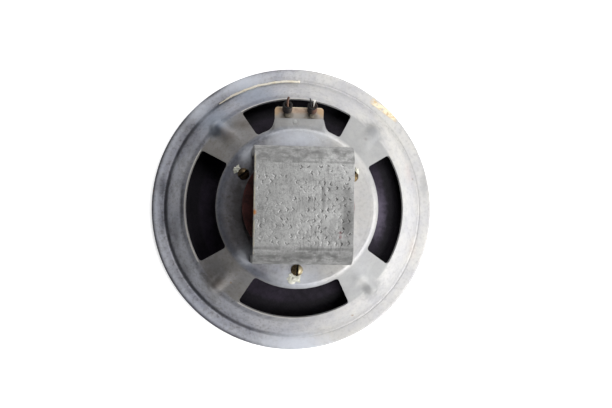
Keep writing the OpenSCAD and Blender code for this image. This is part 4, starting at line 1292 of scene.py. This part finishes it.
coneSize = dict(edgeR=83.0, edgeZ=6.3, depth=19.5, neckR=13.8, neckH=1.4, bow=1.2, thick=0.7, rows=64,
                steps=192, ridges=(74, 66, 58, 50, 42, 34), ridgeH=0.22, ridgeW=0.8, uneven=0.06)
edgeSize = dict(outer=99.3, glued=95.0, inner=90.4, width=7.2, waves=3, waveH=0.55, rise=3.3, low=3.0,
                thick=0.4, rows=48, steps=240)
spiderSize = dict(outer=48.0, glued=43.8, start=39.6, end=15.2, hub=13.2, high=34.2, low=27.8, waves=6,
                  waveH=0.8, thick=0.5, rows=84, steps=144)
capSize = dict(radius=17.0, height=5.0, thick=0.6, rows=20, steps=96)


def coneHeight(s, radius):
    return s["edgeZ"] + s["depth"] * ((s["edgeR"] - radius) / (s["edgeR"] - s["neckR"])) ** s["bow"]


def buildCone(s):
    points = []
    for radius in spaced(s["edgeR"], s["neckR"], s["rows"]):
        ridge = sum(math.exp(-((radius - r) / s["ridgeW"]) ** 2) for r in s["ridges"])
        points.append((radius, coneHeight(s, radius) - s["ridgeH"] * ridge))
    points.append((s["neckR"], s["edgeZ"] + s["depth"] + s["neckH"]))
    mesh = thinWall(points, s["thick"], s["steps"])
    for vert in mesh.verts:
        p = vert.co / mm
        vert.co.z -= s["uneven"] * (0.5 + 0.5 * noise.noise(p * 0.12)) * mm
    return mesh


def wavePoints(start, end, startZ, endZ, waves, height, rows):
    points = []
    for u in spaced(0, 1, rows):
        wave = height * math.sin(fullTurn * waves * u) * math.sqrt(math.sin(math.pi * u) if u < 1 else 0)
        points.append((start + (end - start) * u, startZ + (endZ - startZ) * u - wave))
    return points


def buildEdge(s):
    points = [(s["outer"], s["low"]), (s["glued"], s["low"])]
    points += wavePoints(s["inner"], s["inner"] - s["width"], s["low"], s["low"] + s["rise"], s["waves"],
                         s["waveH"], s["rows"])
    return thinWall(points, s["thick"], s["steps"])


def buildSpider(s):
    points = [(s["outer"], s["high"]), (s["glued"], s["high"])]
    points += wavePoints(s["start"], s["end"], s["high"], s["low"], s["waves"], s["waveH"], s["rows"])
    return thinWall(points + [(s["hub"], s["low"])], s["thick"], s["steps"])


def buildCap(s):
    low, high = (corner.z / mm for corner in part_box("dust_cap"))
    top = low + s["thick"] + s["height"]
    points = [(r, top - z) for r, z in domeLine(s["radius"], s["height"], s["rows"])]
    shift = high - max(z for r, z in points)
    return thinWall([(r, z + min(shift, 0)) for r, z in points], s["thick"], s["steps"])


makePiece("cone_ridged", buildCone(coneSize), "cone", "cone", "cone", smooth=60)
makePiece("dust_cap_felt", buildCap(capSize), "felt", "dust_cap", "cone", smooth=60)
coneEdge = makePiece("cone_edge", buildEdge(edgeSize), "edge", "surround", None, smooth=60)
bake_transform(coneEdge)
cloth = makePiece("spider_cloth", buildSpider(spiderSize), "cloth", "spider", None, 60)
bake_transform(cloth)

# Flexible leads, from the cone up to the lugs. A middle point is a step to the side and shares of the way
leadSize = dict(place=(8.5, 50.0), above=1.3, topY=62.9, topZ=34.5, thick=1.4, count=36,
                mids=((0.1, 0.02, 0.15), (0.5, 0.12, 0.32), (1.1, 0.33, 0.46), (1.4, 0.56, 0.57),
                      (1.2, 0.76, 0.68), (0.6, 0.88, 0.79), (0.1, 0.95, 0.89)))


def buildLead(s, side):
    x, y = s["place"]
    foot = Vector((x, y, coneHeight(coneSize, math.hypot(x, y)) + s["above"]))
    way = Vector((x, s["topY"], s["topZ"])) - foot
    route = [foot] + [foot + Vector((a, b * way.y, c * way.z)) for a, b, c in s["mids"]] + [foot + way]
    points = smoothRoute([(side * p.x, p.y, p.z) for p in route], s["count"])
    return tube(points, [s["thick"] / 2] * len(points))


for side, name in ((-1, "left"), (1, "right")):
    lead = makePiece("lead_braid_" + name, buildLead(leadSize, side), "tinsel",
                     "lead_" + name, None, 60)
    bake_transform(lead)
print("cone done")

# Nodes whose CAD shape stays get their finish here
for name, key in (("spider_ring", "steelRing"), ("plate_studs", "pole"), ("former", "tube"),
                  ("voice_coil", "winding"), ("cone_eyelets", "brass")):
    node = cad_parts[name]
    node.data.materials.clear()
    node.data.materials.append(finish[key])


# Floor, lamps and world

lightSettings = dict(
    lamps=dict(
        keyLamp=((0.38, -0.10, 0.30), 0.40, 1.5),
        upperLamp=((0.14, 0.42, 0.42), 0.50, 2.75),
        lowerLamp=((0.32, -0.40, 0.45), 0.50, 2.9)),
    worldTint=(0.95, 0.97, 1.0), worldStrength=0.03, floorTone="#e9e9e9", floorWhite=0.70)


def addLamp(name, place, size, power):
    lamp = addObject(name, bpy.data.lights.new(name, "AREA"))
    lamp.data.shape = "DISK"
    lamp.data.size = size
    lamp.data.energy = power
    lamp.location = place
    lamp.rotation_euler = (-Vector(place)).to_track_quat("-Z", "Y").to_euler()


def buildFloor(s):                    # glows for what the camera sees, also in metal or through glass
    mesh = bmesh.new()
    bmesh.ops.create_grid(mesh, x_segments=1, y_segments=1, size=4.0)
    paint = newMaterial("paleFloor", None, Roughness=0.9)
    path = paint.add("LightPath")
    seen = paint.maths("MAXIMUM", path["Is Camera Ray"], path["Is Glossy Ray"])
    seen = paint.maths("MAXIMUM", seen, path["Is Transmission Ray"])
    paint.shade({"Base Color": colour(s["floorTone"]), "Emission Color": (1, 1, 1, 1),
                 "Emission Strength": paint.times(seen, s["floorWhite"])})
    floor = addObject("floor", meshData("floor", mesh, paint.material))


def buildWorld(s):                    # white for the camera, weak and nearly grey as a light
    world = bpy.data.worlds.new("studio")
    world.use_nodes = True
    bpy.context.scene.world = world
    paint = Paint(world.node_tree)
    background = world.node_tree.nodes["Background"].inputs
    seen = paint.add("LightPath")["Is Camera Ray"]
    paint.feed(background["Strength"], paint.linear(seen, 1.0 - s["worldStrength"], s["worldStrength"]))
    paint.feed(background["Color"], s["worldTint"] + (1.0,))


for name, lamp in lightSettings["lamps"].items():
    addLamp(name, *lamp)
buildFloor(lightSettings)
buildWorld(lightSettings)
bpy.context.scene.view_settings.view_transform = "Standard"
